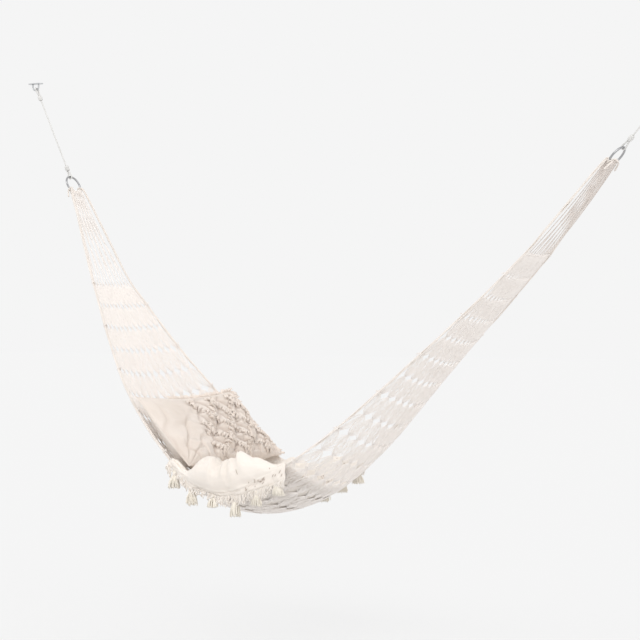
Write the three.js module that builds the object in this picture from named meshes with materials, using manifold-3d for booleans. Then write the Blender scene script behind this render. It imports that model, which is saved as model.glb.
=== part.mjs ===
// A cotton string hammock hung from two eye plates, with a quilt laid in the seat and a pillow on the
// head slope. A knotted diamond net runs from clew to clew between two edge cords, and each clew is a
// fan of cords hitched round a steel ring. Millimetres, +X from the head to the foot, +Z up.
// The model is laid out from a point under the seat, and the last lines move the origin to the middle
// of the head plate's upper face, where the hammock hangs from a beam.
import * as THREE from "three";
import Module from "manifold-3d";
import { mergeVertices } from "three/addons/utils/BufferGeometryUtils.js";

// Clearances between pieces that touch
const SEAT_GAP = 0.3;
const SWING_GAP = 0.8;
const BED_GAP = 0.5;

// Where the two ropes hang and where the two rings lie, as [along, height] from under the seat
const HEAD_HOOK = [-1012, 1503];
const HEAD_RING = [-836, 1141];
const FOOT_RING = [1294, 1141];
const FOOT_ROPE_RUN = 215;

// The bed between the clews: along, height of the edge cords, width between them, depth of the hollow
const BED_STATIONS = [
  [-652, 775, 200, 6],
  [-494, 534, 375, 25],
  [-375, 382, 490, 62],
  [-228, 222, 550, 95],
  [-90, 108, 550, 100],
  [40, 78, 520, 92],
  [200, 138, 480, 102],
  [400, 272, 405, 85],
  [650, 485, 310, 45],
  [900, 716, 205, 18],
  [1033, 848, 155, 8],
];

// Knotted net
const NET_ROWS = 26;
const KNOTS_PER_ROW = 12;
const NET_THICKNESS = 3.2;
const KNOT_WIDTH = 9;
const KNOT_LENGTH = 15;

// Edge cords and clew cords
const EDGE_CORD_DIAMETER = 6;
const EDGE_CORD_STEPS_PER_ROW = 2;
const EDGE_CORD_TAIL = 30;
const CLEW_CORD_DIAMETER = 3.2;
const CLEW_SAG = 16;
const CLEW_BENDS = [0.35, 0.7];

// Steel rings and the cord whipped round their lower arcs
const RING_DIAMETER = 75;
const RING_WIRE_DIAMETER = 7;
const WHIPPING_CORD_DIAMETER = 2.6;
const WHIPPING_TURNS = 13;
const WHIPPING_HALF_ARC = 66;
const WHIPPING_GROOVE_DEPTH = 1.2;
const CLEW_HALF_ARC = 38;
const EDGE_HITCH_ARC = 55;

// Hanging ropes, their loops and their seized knots
const ROPE_DIAMETER = 6;
const LOOP_LENGTH = 24;
const LOOP_STRAIGHT = 4;
const KNOT_BARREL_LENGTH = 22;
const KNOT_BARREL_TURNS = 3;
const KNOT_BARREL_WALL = 2.2;
const KNOT_GROOVE_DEPTH = 1.3;

// Eye plates
const PLATE_LENGTH = 64;
const PLATE_WIDTH = 24;
const PLATE_THICKNESS = 3;
const SCREW_HOLE_DIAMETER = 5;
const SCREW_SPACING = 46;
const EYE_WIRE_DIAMETER = 6;
const EYE_RADIUS = 14;
const EYE_LEG = 9;
const EYE_WELD_DEPTH = 1.5;

// Pillow, lying in the hollow on the head slope, placed by its distance down the bed from the net's end
const PILLOW_PLACE = 672;
const PILLOW_LENGTH = 332;
const PILLOW_WIDTH = 560;
const PILLOW_SEAM_RISE = 34;
const PILLOW_SEAM_THICKNESS = 4;
const PILLOW_CROWN = 36;
const PILLOW_DRAW_IN = 0.06;

// Quilt, tucked under the pillow and laid in the seat, with its tassels over both edge cords
const QUILT_TUCK = 68;
const QUILT_CLEARANCE = 2;
const QUILT_SLOPE_LENGTH = 40;
const QUILT_LENGTH = 480;
const QUILT_SIDE_MARGIN = 18;
const QUILT_THICKNESS = 20;
const QUILT_RIM_THICKNESS = 9;
const QUILT_FOLD_HEIGHT = 5;
const QUILT_FOLDS = 4;
const QUILT_FOLD_WANDER = 0.12;
const TASSELS_PER_SIDE = 6;
const TASSEL_INSET = 28;
const TASSEL_DROP = 92;
const TASSEL_NECK_DIAMETER = 7;
const TASSEL_HEAD_DIAMETER = 15;
const TASSEL_SKIRT_DIAMETER = 30;
const TASSEL_WAIST_DIAMETER = 11;

// Facets of the round pieces and of the two soft bodies, and the degrees of each step of a tassel's neck
const CORD_SIDES = 6;
const ROPE_SIDES = 8;
const HITCH_STEPS = 4;
const NECK_STEPS = 3;
const NECK_STEP = 50;
const LOOP_STEPS = 8;
const RING_STEPS = 24;
const PILLOW_GRID = [20, 16];
const QUILT_GRID = [26, 12];

// Finishes
const cotton = new THREE.MeshStandardMaterial({ color: 0xefe6dc, roughness: 0.9, metalness: 0 });
const knottedCotton = new THREE.MeshStandardMaterial({ color: 0xd9cabb, roughness: 0.9, metalness: 0 });
const greyRope = new THREE.MeshStandardMaterial({ color: 0xd6d4d0, roughness: 0.85, metalness: 0 });
const steel = new THREE.MeshStandardMaterial({ color: 0xc4c6c8, roughness: 0.25, metalness: 1 });
const plateSteel = new THREE.MeshStandardMaterial({ color: 0xdddedf, roughness: 0.4, metalness: 0.8 });
const pillowCloth = new THREE.MeshStandardMaterial({ color: 0xdcc8b6, roughness: 0.95, metalness: 0 });
const quiltCloth = new THREE.MeshStandardMaterial({ color: 0xf4ede2, roughness: 0.95, metalness: 0 });
const tasselYarn = new THREE.MeshStandardMaterial({ color: 0xefe3d0, roughness: 0.95, metalness: 0 });

const ACROSS = new THREE.Vector3(0, 1, 0);
const DOWN = new THREE.Vector3(0, 0, -1);
const hammock = new THREE.Group();

function at(along, height, across = 0) {
  return new THREE.Vector3(along, across, height);
}

function addMesh(name, geometry, material) {
  const mesh = new THREE.Mesh(geometry, material);
  mesh.name = name;
  hammock.add(mesh);
  return mesh;
}

function solidFrom(positions, indices) {
  const geometry = new THREE.BufferGeometry();
  geometry.setAttribute("position", new THREE.Float32BufferAttribute(positions, 3));
  geometry.setIndex(indices);
  return geometry;
}

// Frames carried along a path without twisting, each with its direction and two side vectors
function carriedFrames(points) {
  const frames = [];
  let side = null;
  points.forEach((point, i) => {
    const before = points[Math.max(i - 1, 0)];
    const after = points[Math.min(i + 1, points.length - 1)];
    const along = after.clone().sub(before).normalize();
    if (side === null) side = Math.abs(along.y) < 0.9 ? ACROSS.clone() : DOWN.clone();
    side = side.clone().addScaledVector(along, -side.dot(along)).normalize();
    frames.push({ point, along, side, other: along.clone().cross(side) });
  });
  return frames;
}

// A round tube through points, with one radius for all of them or one for each, and flat ends
function cordThrough(points, radii, sides) {
  const positions = [];
  const indices = [];
  const frames = carriedFrames(points);
  frames.forEach(({ point, side, other }, i) => {
    const radius = Array.isArray(radii) ? radii[i] : radii;
    for (let k = 0; k < sides; k += 1) {
      const turn = (2 * Math.PI * k) / sides;
      const corner = point.clone();
      corner.addScaledVector(side, radius * Math.cos(turn)).addScaledVector(other, radius * Math.sin(turn));
      positions.push(corner.x, corner.y, corner.z);
    }
  });
  for (let i = 0; i + 1 < frames.length; i += 1) {
    for (let k = 0; k < sides; k += 1) {
      const a = i * sides + k;
      const b = i * sides + ((k + 1) % sides);
      indices.push(a, b, b + sides, a, b + sides, a + sides);
    }
  }
  const last = (frames.length - 1) * sides;
  for (let k = 1; k + 1 < sides; k += 1) {
    indices.push(0, k + 1, k);
    indices.push(last, last + k, last + k + 1);
  }
  return solidFrom(positions, indices);
}

// A taut rope: a round section extruded along a straight line
function straightRope(from, to, diameter, sides, steps) {
  const section = new THREE.Shape();
  for (let k = 0; k < sides; k += 1) {
    const turn = (2 * Math.PI * k) / sides;
    const x = (diameter / 2) * Math.cos(turn);
    const y = (diameter / 2) * Math.sin(turn);
    if (k === 0) section.moveTo(x, y);
    else section.lineTo(x, y);
  }
  section.closePath();
  const path = new THREE.LineCurve3(from, to);
  return weld(new THREE.ExtrudeGeometry(section, { steps, extrudePath: path }));
}

function weld(geometry) {
  geometry.deleteAttribute("normal");
  geometry.deleteAttribute("uv");
  return mergeVertices(geometry, 1e-4);
}

// The two rings and the clews that hang from them
function ringFrame(centre, towards) {
  const middle = at(...centre);
  const clewAxis = at(towards[0], towards[1]).sub(middle).normalize();
  const up = clewAxis.clone().cross(ACROSS);
  return { middle, clewAxis, up: up.z < 0 ? up.negate() : up };
}

const firstStation = BED_STATIONS[0];
const lastStation = BED_STATIONS[BED_STATIONS.length - 1];
const headRing = ringFrame(HEAD_RING, firstStation);
const footRing = ringFrame(FOOT_RING, lastStation);
const ringRadius = (RING_DIAMETER - RING_WIRE_DIAMETER) / 2;
const whippingInner = RING_WIRE_DIAMETER / 2 + SEAT_GAP;
const whippingOuter = whippingInner + WHIPPING_CORD_DIAMETER;
const legOffset = ROPE_DIAMETER / 2 + SEAT_GAP;

// The bed's surface: edge line by arc length, width and hollow by the same stations
const edgeLine = new THREE.CatmullRomCurve3(
  BED_STATIONS.map(([along, height]) => at(along, height)), false, "centripetal");
edgeLine.arcLengthDivisions = 800;
const bedForm = new THREE.CatmullRomCurve3(
  BED_STATIONS.map(([, , width, hollow]) => new THREE.Vector3(width, hollow, 0)), false, "catmullrom", 0.5);
const bedLength = edgeLine.getLength();
const rowPitch = bedLength / (NET_ROWS - 1);
const halfMesh = 1 / (KNOTS_PER_ROW - 0.5);

// A point of the bed, at a distance along the edge line and a share of the half width, from -1 to 1
function bedPoint(distance, share) {
  const t = edgeLine.getUtoTmapping(THREE.MathUtils.clamp(distance / bedLength, 0, 1));
  const middle = edgeLine.getPoint(t);
  const direction = edgeLine.getTangent(t);
  const form = bedForm.getPoint(t);
  const below = direction.clone().cross(ACROSS).negate();
  middle.addScaledVector(ACROSS, (share * form.x) / 2);
  return middle.addScaledVector(below, form.y * (1 - share * share));
}

function bedWidth(distance) {
  const t = edgeLine.getUtoTmapping(THREE.MathUtils.clamp(distance / bedLength, 0, 1));
  return bedForm.getPoint(t).x;
}

// The bed's own directions at a point: along it, across it and out of its upper side
function bedFrame(distance, share) {
  const step = 0.5;
  const nudge = 0.002;
  const start = Math.max(distance - step, 0);
  const end = Math.min(distance + step, bedLength);
  const along = bedPoint(end, share).sub(bedPoint(start, share)).normalize();
  const across = bedPoint(distance, share + nudge).sub(bedPoint(distance, share - nudge));
  across.addScaledVector(along, -across.dot(along)).normalize();
  return { point: bedPoint(distance, share), along, across, out: along.clone().cross(across) };
}

// How far a soft body has to stand off the curved bed to lie on the net's straight cords, which rise
// above the curve half-way between two rows
function netCrown(distance, share) {
  const frame = bedFrame(distance, share);
  const aside = halfMesh / 2;
  let rise = 0;
  for (const lean of [-aside, aside]) {
    const cord = bedPoint(distance - rowPitch / 2, share - lean);
    cord.add(bedPoint(distance + rowPitch / 2, share + lean)).multiplyScalar(0.5);
    rise = Math.max(rise, cord.sub(frame.point).dot(frame.out));
  }
  return rise + NET_THICKNESS / 2 + BED_GAP;
}

// Odd rows are set over by half a mesh, so that each edge cord carries every second row
function knotShare(row, column) {
  return -1 + halfMesh * (2 * column + (row % 2));
}

// The net as one body: four-cornered knots joined by straight cords of square section
function netGeometry() {
  const positions = [];
  const indices = [];
  const half = NET_THICKNESS / 2;
  const knots = [];
  for (let row = 0; row < NET_ROWS; row += 1) {
    knots.push([]);
    for (let column = 0; column < KNOTS_PER_ROW; column += 1) {
      const frame = bedFrame(row * rowPitch, knotShare(row, column));
      const corners = {};
      const offsets = {
        back: frame.along.clone().multiplyScalar(-KNOT_LENGTH / 2),
        front: frame.along.clone().multiplyScalar(KNOT_LENGTH / 2),
        near: frame.across.clone().multiplyScalar(-KNOT_WIDTH / 2),
        far: frame.across.clone().multiplyScalar(KNOT_WIDTH / 2),
      };
      for (const [name, offset] of Object.entries(offsets)) {
        corners[name] = positions.length / 3;
        for (const layer of [half, -half]) {
          const corner = frame.point.clone().add(offset).addScaledVector(frame.out, layer);
          positions.push(corner.x, corner.y, corner.z);
        }
      }
      knots[row].push(corners);
    }
  }
  const face = (...ring) => {
    for (let i = 1; i + 1 < ring.length; i += 1) {
      indices.push(ring[0], ring[i], ring[i + 1]);
      indices.push(ring[0] + 1, ring[i + 1] + 1, ring[i] + 1);
    }
  };
  const wall = (from, to) => {
    indices.push(from + 1, to + 1, to, from + 1, to, from);
  };
  const knotAt = (row, column) => (knots[row] ? knots[row][column] : undefined);
  for (let row = 0; row < NET_ROWS; row += 1) {
    const shift = row % 2;
    for (let column = 0; column < KNOTS_PER_ROW; column += 1) {
      const knot = knots[row][column];
      const nextNear = knotAt(row + 1, column - 1 + shift);
      const nextFar = knotAt(row + 1, column + shift);
      const lastNear = knotAt(row - 1, column - 1 + shift);
      const lastFar = knotAt(row - 1, column + shift);
      face(knot.back, knot.near, knot.front, knot.far);
      if (nextFar) {
        face(knot.front, nextFar.near, nextFar.back, knot.far);
        wall(knot.front, nextFar.near);
        wall(nextFar.back, knot.far);
      } else wall(knot.front, knot.far);
      if (nextNear) {
        face(knot.near, nextNear.back, nextNear.far, knot.front);
        wall(knot.near, nextNear.back);
        wall(nextNear.far, knot.front);
      } else wall(knot.near, knot.front);
      if (!lastNear) wall(knot.back, knot.near);
      if (!lastFar) wall(knot.far, knot.back);
    }
  }
  return solidFrom(positions, indices);
}

// The point of a ring's wire at an angle from the clew's axis
function wirePoint(ring, angle) {
  const turn = THREE.MathUtils.degToRad(angle);
  const point = ring.middle.clone().addScaledVector(ring.clewAxis, ringRadius * Math.cos(turn));
  return point.addScaledVector(ACROSS, ringRadius * Math.sin(turn));
}

// The bend of a cord of some radius round a ring's whipped wire, from above the ring to below it
function hitchBend(ring, angle, cordRadius) {
  const centre = wirePoint(ring, angle);
  const inward = ring.middle.clone().sub(centre).normalize();
  const radius = (whippingOuter + SEAT_GAP + cordRadius) / Math.cos(Math.PI / (2 * HITCH_STEPS));
  const bend = [];
  for (let i = 0; i <= HITCH_STEPS; i += 1) {
    const turn = (Math.PI * i) / HITCH_STEPS;
    const point = centre.clone().addScaledVector(ring.up, radius * Math.cos(turn));
    bend.push(point.addScaledVector(inward, radius * Math.sin(turn)));
  }
  return bend;
}

// A clew cord's leg, from the ring to the tip of a knot of the net's end row, with a little sag
function clewLeg(start, row, column) {
  const frame = bedFrame(row * rowPitch, knotShare(row, column));
  const outward = row === 0 ? -1 : 1;
  const tip = frame.point.clone().addScaledVector(frame.along, (outward * KNOT_LENGTH) / 2);
  const leg = CLEW_BENDS.map((share) => {
    const point = start.clone().lerp(tip, share);
    return point.addScaledVector(DOWN, CLEW_SAG * share * (1 - share));
  });
  const back = leg[leg.length - 1].clone().sub(tip).normalize();
  const clear = SEAT_GAP + (NET_THICKNESS / 2) * Math.abs(frame.out.dot(back));
  return [...leg, tip.addScaledVector(back, clear)];
}

// Each clew cord comes up from one knot, is hitched round the ring and goes down to the next knot
function addClew(side, ring, row) {
  const pairs = KNOTS_PER_ROW / 2;
  for (let pair = 0; pair < pairs; pair += 1) {
    const angle = CLEW_HALF_ARC * ((2 * pair) / (pairs - 1) - 1);
    const bend = hitchBend(ring, angle, CLEW_CORD_DIAMETER / 2);
    const upper = clewLeg(bend[0], row, 2 * pair);
    const lower = clewLeg(bend[bend.length - 1], row, 2 * pair + 1);
    const path = [...upper.reverse(), ...bend, ...lower];
    const cord = cordThrough(path, CLEW_CORD_DIAMETER / 2, CORD_SIDES);
    addMesh(`${side}_clew_cord_${pair + 1}`, cord, cotton);
  }
}

// An edge cord: hitched round one ring, along the knots of its side of the net, and round the other
function edgeCordPath(share) {
  const beside = KNOT_WIDTH / 2 + SEAT_GAP + EDGE_CORD_DIAMETER / 2;
  const path = [];
  const hitch = (ring, backwards) => {
    const angle = share * EDGE_HITCH_ARC;
    const bend = hitchBend(ring, angle, EDGE_CORD_DIAMETER / 2);
    const away = wirePoint(ring, angle / 2).sub(ring.middle).normalize();
    const tail = bend[bend.length - 1].clone().addScaledVector(away, EDGE_CORD_TAIL);
    const points = [...bend, tail];
    return backwards ? points.reverse() : points;
  };
  path.push(...hitch(headRing, true));
  const steps = (NET_ROWS - 1) * EDGE_CORD_STEPS_PER_ROW;
  for (let i = 0; i <= steps; i += 1) {
    const frame = bedFrame((i * rowPitch) / EDGE_CORD_STEPS_PER_ROW, share);
    path.push(frame.point.clone().addScaledVector(frame.across, share * beside));
  }
  path.push(...hitch(footRing, false));
  return path;
}

// Cord wound side by side round the lower arc of a ring: a ribbed sleeve with the wire in its bore
function whippingGeometry(ring) {
  const sides = CORD_SIDES;
  const rings = WHIPPING_TURNS * 2 + 1;
  const groove = whippingOuter - WHIPPING_GROOVE_DEPTH;
  const positions = [];
  const indices = [];
  for (const bore of [false, true]) {
    for (let i = 0; i < rings; i += 1) {
      const angle = WHIPPING_HALF_ARC * ((2 * i) / (rings - 1) - 1);
      const centre = wirePoint(ring, angle);
      const outward = centre.clone().sub(ring.middle).normalize();
      const outer = i % 2 === 1 ? whippingOuter : groove;
      const radius = bore ? whippingInner / Math.cos(Math.PI / sides) : outer;
      for (let k = 0; k < sides; k += 1) {
        const turn = (2 * Math.PI * k) / sides;
        const point = centre.clone().addScaledVector(outward, radius * Math.cos(turn));
        point.addScaledVector(ring.up, radius * Math.sin(turn));
        positions.push(point.x, point.y, point.z);
      }
    }
  }
  const inner = rings * sides;
  const quad = (a, b, c, d) => indices.push(a, b, c, a, c, d);
  for (let i = 0; i < rings; i += 1) {
    for (let k = 0; k < sides; k += 1) {
      const a = i * sides + k;
      const b = i * sides + ((k + 1) % sides);
      if (i + 1 < rings) {
        quad(a, b, b + sides, a + sides);
        quad(inner + a, inner + a + sides, inner + b + sides, inner + b);
      }
      if (i === 0) quad(a, inner + a, inner + b, b);
      if (i + 1 === rings) quad(a, b, inner + b, inner + a);
    }
  }
  return facingOut(solidFrom(positions, indices));
}

// Turns a closed body's faces outwards where they were laid the other way round
function facingOut(geometry) {
  const position = geometry.getAttribute("position");
  const index = geometry.getIndex();
  const corner = (i) => new THREE.Vector3().fromBufferAttribute(position, index.getX(i));
  let volume = 0;
  for (let i = 0; i < index.count; i += 3) {
    volume += corner(i).dot(corner(i + 1).cross(corner(i + 2)));
  }
  if (volume < 0) {
    for (let i = 0; i < index.count; i += 3) {
      const second = index.getX(i + 1);
      index.setX(i + 1, index.getX(i + 2));
      index.setX(i + 2, second);
    }
  }
  return geometry;
}

function addRing(side, ring) {
  const torus = weld(new THREE.TorusGeometry(ringRadius, RING_WIRE_DIAMETER / 2, ROPE_SIDES, RING_STEPS));
  const mesh = addMesh(`${side}_ring`, torus, steel);
  mesh.position.copy(ring.middle);
  const normal = ring.clewAxis.clone().cross(ACROSS);
  mesh.setRotationFromMatrix(new THREE.Matrix4().makeBasis(ring.clewAxis, ACROSS, normal));
  addMesh(`${side}_ring_whipping`, whippingGeometry(ring), knottedCotton);
}

// A seized knot: turns of cord in a barrel round the rope's axis
function knotBarrel(radius) {
  const end = KNOT_BARREL_LENGTH / 2;
  const pitch = KNOT_BARREL_LENGTH / KNOT_BARREL_TURNS;
  const groove = radius - KNOT_GROOVE_DEPTH;
  const profile = [new THREE.Vector2(0, -end)];
  for (let turn = 0; turn < KNOT_BARREL_TURNS; turn += 1) {
    const start = turn * pitch - end;
    for (const [share, out] of [[0.05, groove], [0.3, radius], [0.7, radius], [0.95, groove]]) {
      profile.push(new THREE.Vector2(out, start + share * pitch));
    }
  }
  profile.push(new THREE.Vector2(0, end));
  return facingOut(weld(new THREE.LatheGeometry(profile, ROPE_SIDES)));
}

// A loop of rope over a wire: its two legs come together in the knot below
function ropeLoop(wireCentre, sideways, towardsKnot, radius) {
  const points = [];
  const leg = (side) => [LOOP_LENGTH, LOOP_LENGTH - LOOP_STRAIGHT].map((run) => {
    const point = wireCentre.clone().addScaledVector(towardsKnot, run);
    return point.addScaledVector(sideways, side * legOffset);
  });
  points.push(...leg(1));
  for (let i = 0; i <= LOOP_STEPS; i += 1) {
    const turn = (Math.PI * i) / LOOP_STEPS;
    const point = wireCentre.clone().addScaledVector(sideways, radius * Math.cos(turn));
    points.push(point.addScaledVector(towardsKnot, -radius * Math.sin(turn)));
  }
  points.push(...leg(-1).reverse());
  return cordThrough(points, ROPE_DIAMETER / 2, CORD_SIDES);
}

// The rope between an eye plate and a ring, with a loop and a seized knot at each end
function addHangingRope(side, ring, hook) {
  const rope = hook.clone().sub(ring.middle).normalize();
  const down = rope.clone().negate();
  const ropeRadius = ROPE_DIAMETER / 2;
  const bendSlack = 1 / Math.cos(Math.PI / (2 * LOOP_STEPS));
  const hookLoopRadius = (EYE_WIRE_DIAMETER / 2 + ropeRadius + SWING_GAP) * bendSlack;
  const ringLoopRadius = (RING_WIRE_DIAMETER / 2 + ropeRadius + SEAT_GAP) * bendSlack;
  const barrelRadius = legOffset + ropeRadius + KNOT_BARREL_WALL;
  const ringTop = ring.middle.clone().addScaledVector(rope, ringRadius);
  const upward = ring.up.clone().addScaledVector(rope, -ring.up.dot(rope)).normalize();
  addMesh(`${side}_rope_loop`, ropeLoop(hook, ACROSS, down, hookLoopRadius), greyRope);
  addMesh(`${side}_ring_loop`, ropeLoop(ringTop, upward, rope, ringLoopRadius), greyRope);
  const fromKnot = LOOP_LENGTH + SEAT_GAP + KNOT_BARREL_LENGTH / 2;
  const upperKnot = hook.clone().addScaledVector(down, fromKnot);
  const lowerKnot = ringTop.clone().addScaledVector(rope, fromKnot);
  for (const [name, middle] of [["rope_knot", upperKnot], ["ring_knot", lowerKnot]]) {
    const mesh = addMesh(`${side}_${name}`, knotBarrel(barrelRadius), greyRope);
    mesh.position.copy(middle);
    mesh.quaternion.setFromUnitVectors(ACROSS, rope);
  }
  const clear = KNOT_BARREL_LENGTH / 2 + SEAT_GAP;
  const from = lowerKnot.clone().addScaledVector(rope, clear);
  const to = upperKnot.clone().addScaledVector(down, clear);
  const steps = Math.max(4, Math.round(from.distanceTo(to) / (3 * ROPE_DIAMETER)));
  const tautRope = straightRope(from, to, ROPE_DIAMETER, ROPE_SIDES, steps);
  addMesh(`${side}_hang_rope`, tautRope, greyRope);
}

const wasm = await Module();
wasm.setup();

function toManifold(geometry) {
  const vertProperties = new Float32Array(geometry.getAttribute("position").array);
  const triVerts = new Uint32Array(geometry.getIndex().array);
  return new wasm.Manifold(new wasm.Mesh({ numProp: 3, vertProperties, triVerts }));
}

function fromManifold(solid) {
  const { vertProperties, triVerts } = solid.getMesh();
  return solidFrom(Array.from(vertProperties), Array.from(triVerts));
}

// A flat plate with rounded ends and two screw holes, with a wire eye welded under it
function addEyePlate(side, ring, hook) {
  const towardsRing = ring.middle.clone().sub(hook).normalize();
  const eyeMiddle = hook.clone().addScaledVector(towardsRing, -EYE_RADIUS);
  const underside = eyeMiddle.z + EYE_LEG;
  const outline = new THREE.Shape();
  const straight = (PLATE_LENGTH - PLATE_WIDTH) / 2;
  outline.moveTo(straight, -PLATE_WIDTH / 2);
  outline.absarc(straight, 0, PLATE_WIDTH / 2, -Math.PI / 2, Math.PI / 2);
  outline.absarc(-straight, 0, PLATE_WIDTH / 2, Math.PI / 2, Math.PI * 1.5);
  for (const end of [-1, 1]) {
    const hole = new THREE.Path();
    hole.absarc((end * SCREW_SPACING) / 2, 0, SCREW_HOLE_DIAMETER / 2, 0, 2 * Math.PI, true);
    outline.holes.push(hole);
  }
  const options = { depth: PLATE_THICKNESS, bevelEnabled: false, curveSegments: ROPE_SIDES };
  const plate = weld(new THREE.ExtrudeGeometry(outline, options));
  plate.translate(eyeMiddle.x, 0, underside);
  const eye = [at(eyeMiddle.x - EYE_RADIUS, underside + EYE_WELD_DEPTH)];
  for (let i = 0; i <= LOOP_STEPS; i += 1) {
    const turn = Math.PI + (Math.PI * i) / LOOP_STEPS;
    const x = eyeMiddle.x + EYE_RADIUS * Math.cos(turn);
    eye.push(at(x, eyeMiddle.z + EYE_RADIUS * Math.sin(turn)));
  }
  eye.push(at(eyeMiddle.x + EYE_RADIUS, underside + EYE_WELD_DEPTH));
  const wire = facingOut(cordThrough(eye, EYE_WIRE_DIAMETER / 2, ROPE_SIDES));
  addMesh(`${side}_eye_plate`, fromManifold(toManifold(plate).add(toManifold(wire))), plateSteel);
  return at(eyeMiddle.x, underside + PLATE_THICKNESS);
}

// A soft body lying on the bed: a grid of two parameters from -1 to 1 with a lower and an upper skin
function layOnBed([columns, rows], place) {
  const positions = [];
  const indices = [];
  for (const skin of ["high", "low"]) {
    for (let i = 0; i <= columns; i += 1) {
      for (let j = 0; j <= rows; j += 1) {
        const spot = place((2 * i) / columns - 1, (2 * j) / rows - 1);
        const point = spot.foot.clone().addScaledVector(spot.out, spot[skin]);
        positions.push(point.x, point.y, point.z);
      }
    }
  }
  const under = (columns + 1) * (rows + 1);
  const corner = (i, j) => i * (rows + 1) + j;
  const quad = (a, b, c, d) => indices.push(a, b, c, a, c, d);
  for (let i = 0; i < columns; i += 1) {
    for (let j = 0; j < rows; j += 1) {
      const ring = [corner(i, j), corner(i + 1, j), corner(i + 1, j + 1), corner(i, j + 1)];
      quad(...ring);
      quad(...ring.map((k) => k + under).reverse());
    }
  }
  const rim = (from, to) => quad(from + under, to + under, to, from);
  for (let i = 0; i < columns; i += 1) {
    rim(corner(i, 0), corner(i + 1, 0));
    rim(corner(i + 1, rows), corner(i, rows));
  }
  for (let j = 0; j < rows; j += 1) {
    rim(corner(columns, j), corner(columns, j + 1));
    rim(corner(0, j + 1), corner(0, j));
  }
  return facingOut(solidFrom(positions, indices));
}

// The pillow's seam lies a little above the edge cords. Its belly fills the hollow down to the net, its
// crown swells above the seam, and its sides draw in between its corners.
function pillowPlace(u, v) {
  const fullness = Math.sqrt((1 - u ** 4) * (1 - v ** 4));
  const drawnLong = 1 - PILLOW_DRAW_IN * (1 - v * v) * u * u;
  const drawnWide = 1 - PILLOW_DRAW_IN * (1 - u * u) * v * v;
  const distance = PILLOW_PLACE + (PILLOW_LENGTH / 2) * u * drawnLong;
  const share = (v * drawnWide * PILLOW_WIDTH) / bedWidth(distance);
  const spot = bedFrame(distance, share);
  const { out } = bedFrame(distance, 0);
  const depth = bedPoint(distance, 1).sub(spot.point).dot(out);
  const rest = pillowRest(distance, share) / spot.out.dot(out);
  const seam = depth + PILLOW_SEAM_RISE;
  return {
    foot: spot.point,
    out,
    low: rest + (seam - rest) * (1 - fullness),
    high: seam + PILLOW_SEAM_THICKNESS + PILLOW_CROWN * fullness,
  };
}

const quiltStart = PILLOW_PLACE + PILLOW_LENGTH / 2 - QUILT_TUCK;

// The quilt's rim, as a share of the bed's half width
function quiltSpan(distance) {
  return 1 - (2 * QUILT_SIDE_MARGIN) / bedWidth(distance);
}

// The quilt is thickest in the seat and thins to its rim, with soft folds running across the bed
function quiltThickness(u, v) {
  const fullness = Math.sqrt((1 - u ** 6) * (1 - v ** 6));
  const wander = QUILT_FOLD_WANDER * Math.sin(3 * v);
  const fold = QUILT_FOLD_HEIGHT * Math.cos(Math.PI * QUILT_FOLDS * (u + wander));
  return QUILT_RIM_THICKNESS + (QUILT_THICKNESS - QUILT_RIM_THICKNESS + fold) * fullness;
}

function quiltPlace(u, v) {
  const distance = quiltStart + (QUILT_LENGTH * (u + 1)) / 2;
  const share = quiltSpan(distance) * v;
  const spot = bedFrame(distance, share);
  const low = netCrown(distance, share);
  return { foot: spot.point, out: spot.out, low, high: low + quiltThickness(u, v) };
}

// What the pillow rests on, above the bed: the net, or the quilt where that is tucked under it
function pillowRest(distance, share) {
  const { clamp, smoothstep } = THREE.MathUtils;
  const u = clamp((2 * (distance - quiltStart)) / QUILT_LENGTH - 1, -1, 1);
  const v = clamp(share / quiltSpan(distance), -1, 1);
  const onQuilt = smoothstep(distance, quiltStart - QUILT_SLOPE_LENGTH, quiltStart);
  return netCrown(distance, share) + onQuilt * (quiltThickness(u, v) + QUILT_CLEARANCE);
}

// A tassel: its neck comes from the quilt's rim over the edge cord, and its skirt hangs outside.
// Its fall lists how far down it each width comes.
function tasselGeometry(distance, side) {
  const edge = bedFrame(distance, side);
  const beside = KNOT_WIDTH / 2 + SEAT_GAP + EDGE_CORD_DIAMETER / 2;
  const cord = edge.point.clone().addScaledVector(edge.across, side * beside);
  const neck = TASSEL_NECK_DIAMETER / 2;
  const climb = Math.hypot(edge.along.x, edge.along.y);
  const halfStep = THREE.MathUtils.degToRad(NECK_STEP / 2);
  const bend = (EDGE_CORD_DIAMETER / 2 + neck + 2 * SEAT_GAP) / climb / Math.cos(halfStep);
  const rimShare = side * quiltSpan(distance);
  const rim = bedFrame(distance, rimShare);
  const lift = netCrown(distance, rimShare) + QUILT_RIM_THICKNESS / 2;
  const start = rim.point.clone().addScaledVector(rim.out, lift);
  const points = [start.addScaledVector(rim.across, 2 * side * SEAT_GAP)];
  for (let step = NECK_STEPS; step >= 0; step -= 1) {
    const angle = THREE.MathUtils.degToRad(step * NECK_STEP);
    const aside = new THREE.Vector3(0, side * bend * Math.cos(angle), bend * Math.sin(angle));
    points.push(aside.add(cord));
  }
  const radii = points.map(() => neck);
  const head = TASSEL_HEAD_DIAMETER / 2;
  const skirt = TASSEL_SKIRT_DIAMETER / 2;
  const waist = TASSEL_WAIST_DIAMETER / 2;
  const fall = [[0.12, neck], [0.17, (neck + head) / 2], [0.24, head], [0.31, waist],
    [0.36, (waist + head) / 2], [0.6, (head + skirt) / 2], [1, skirt]];
  for (const [share, radius] of fall) {
    const outward = side * (bend + radius - neck);
    points.push(cord.clone().add(new THREE.Vector3(0, outward, -TASSEL_DROP * share)));
    radii.push(radius);
  }
  return facingOut(cordThrough(points, radii, CORD_SIDES));
}

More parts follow.
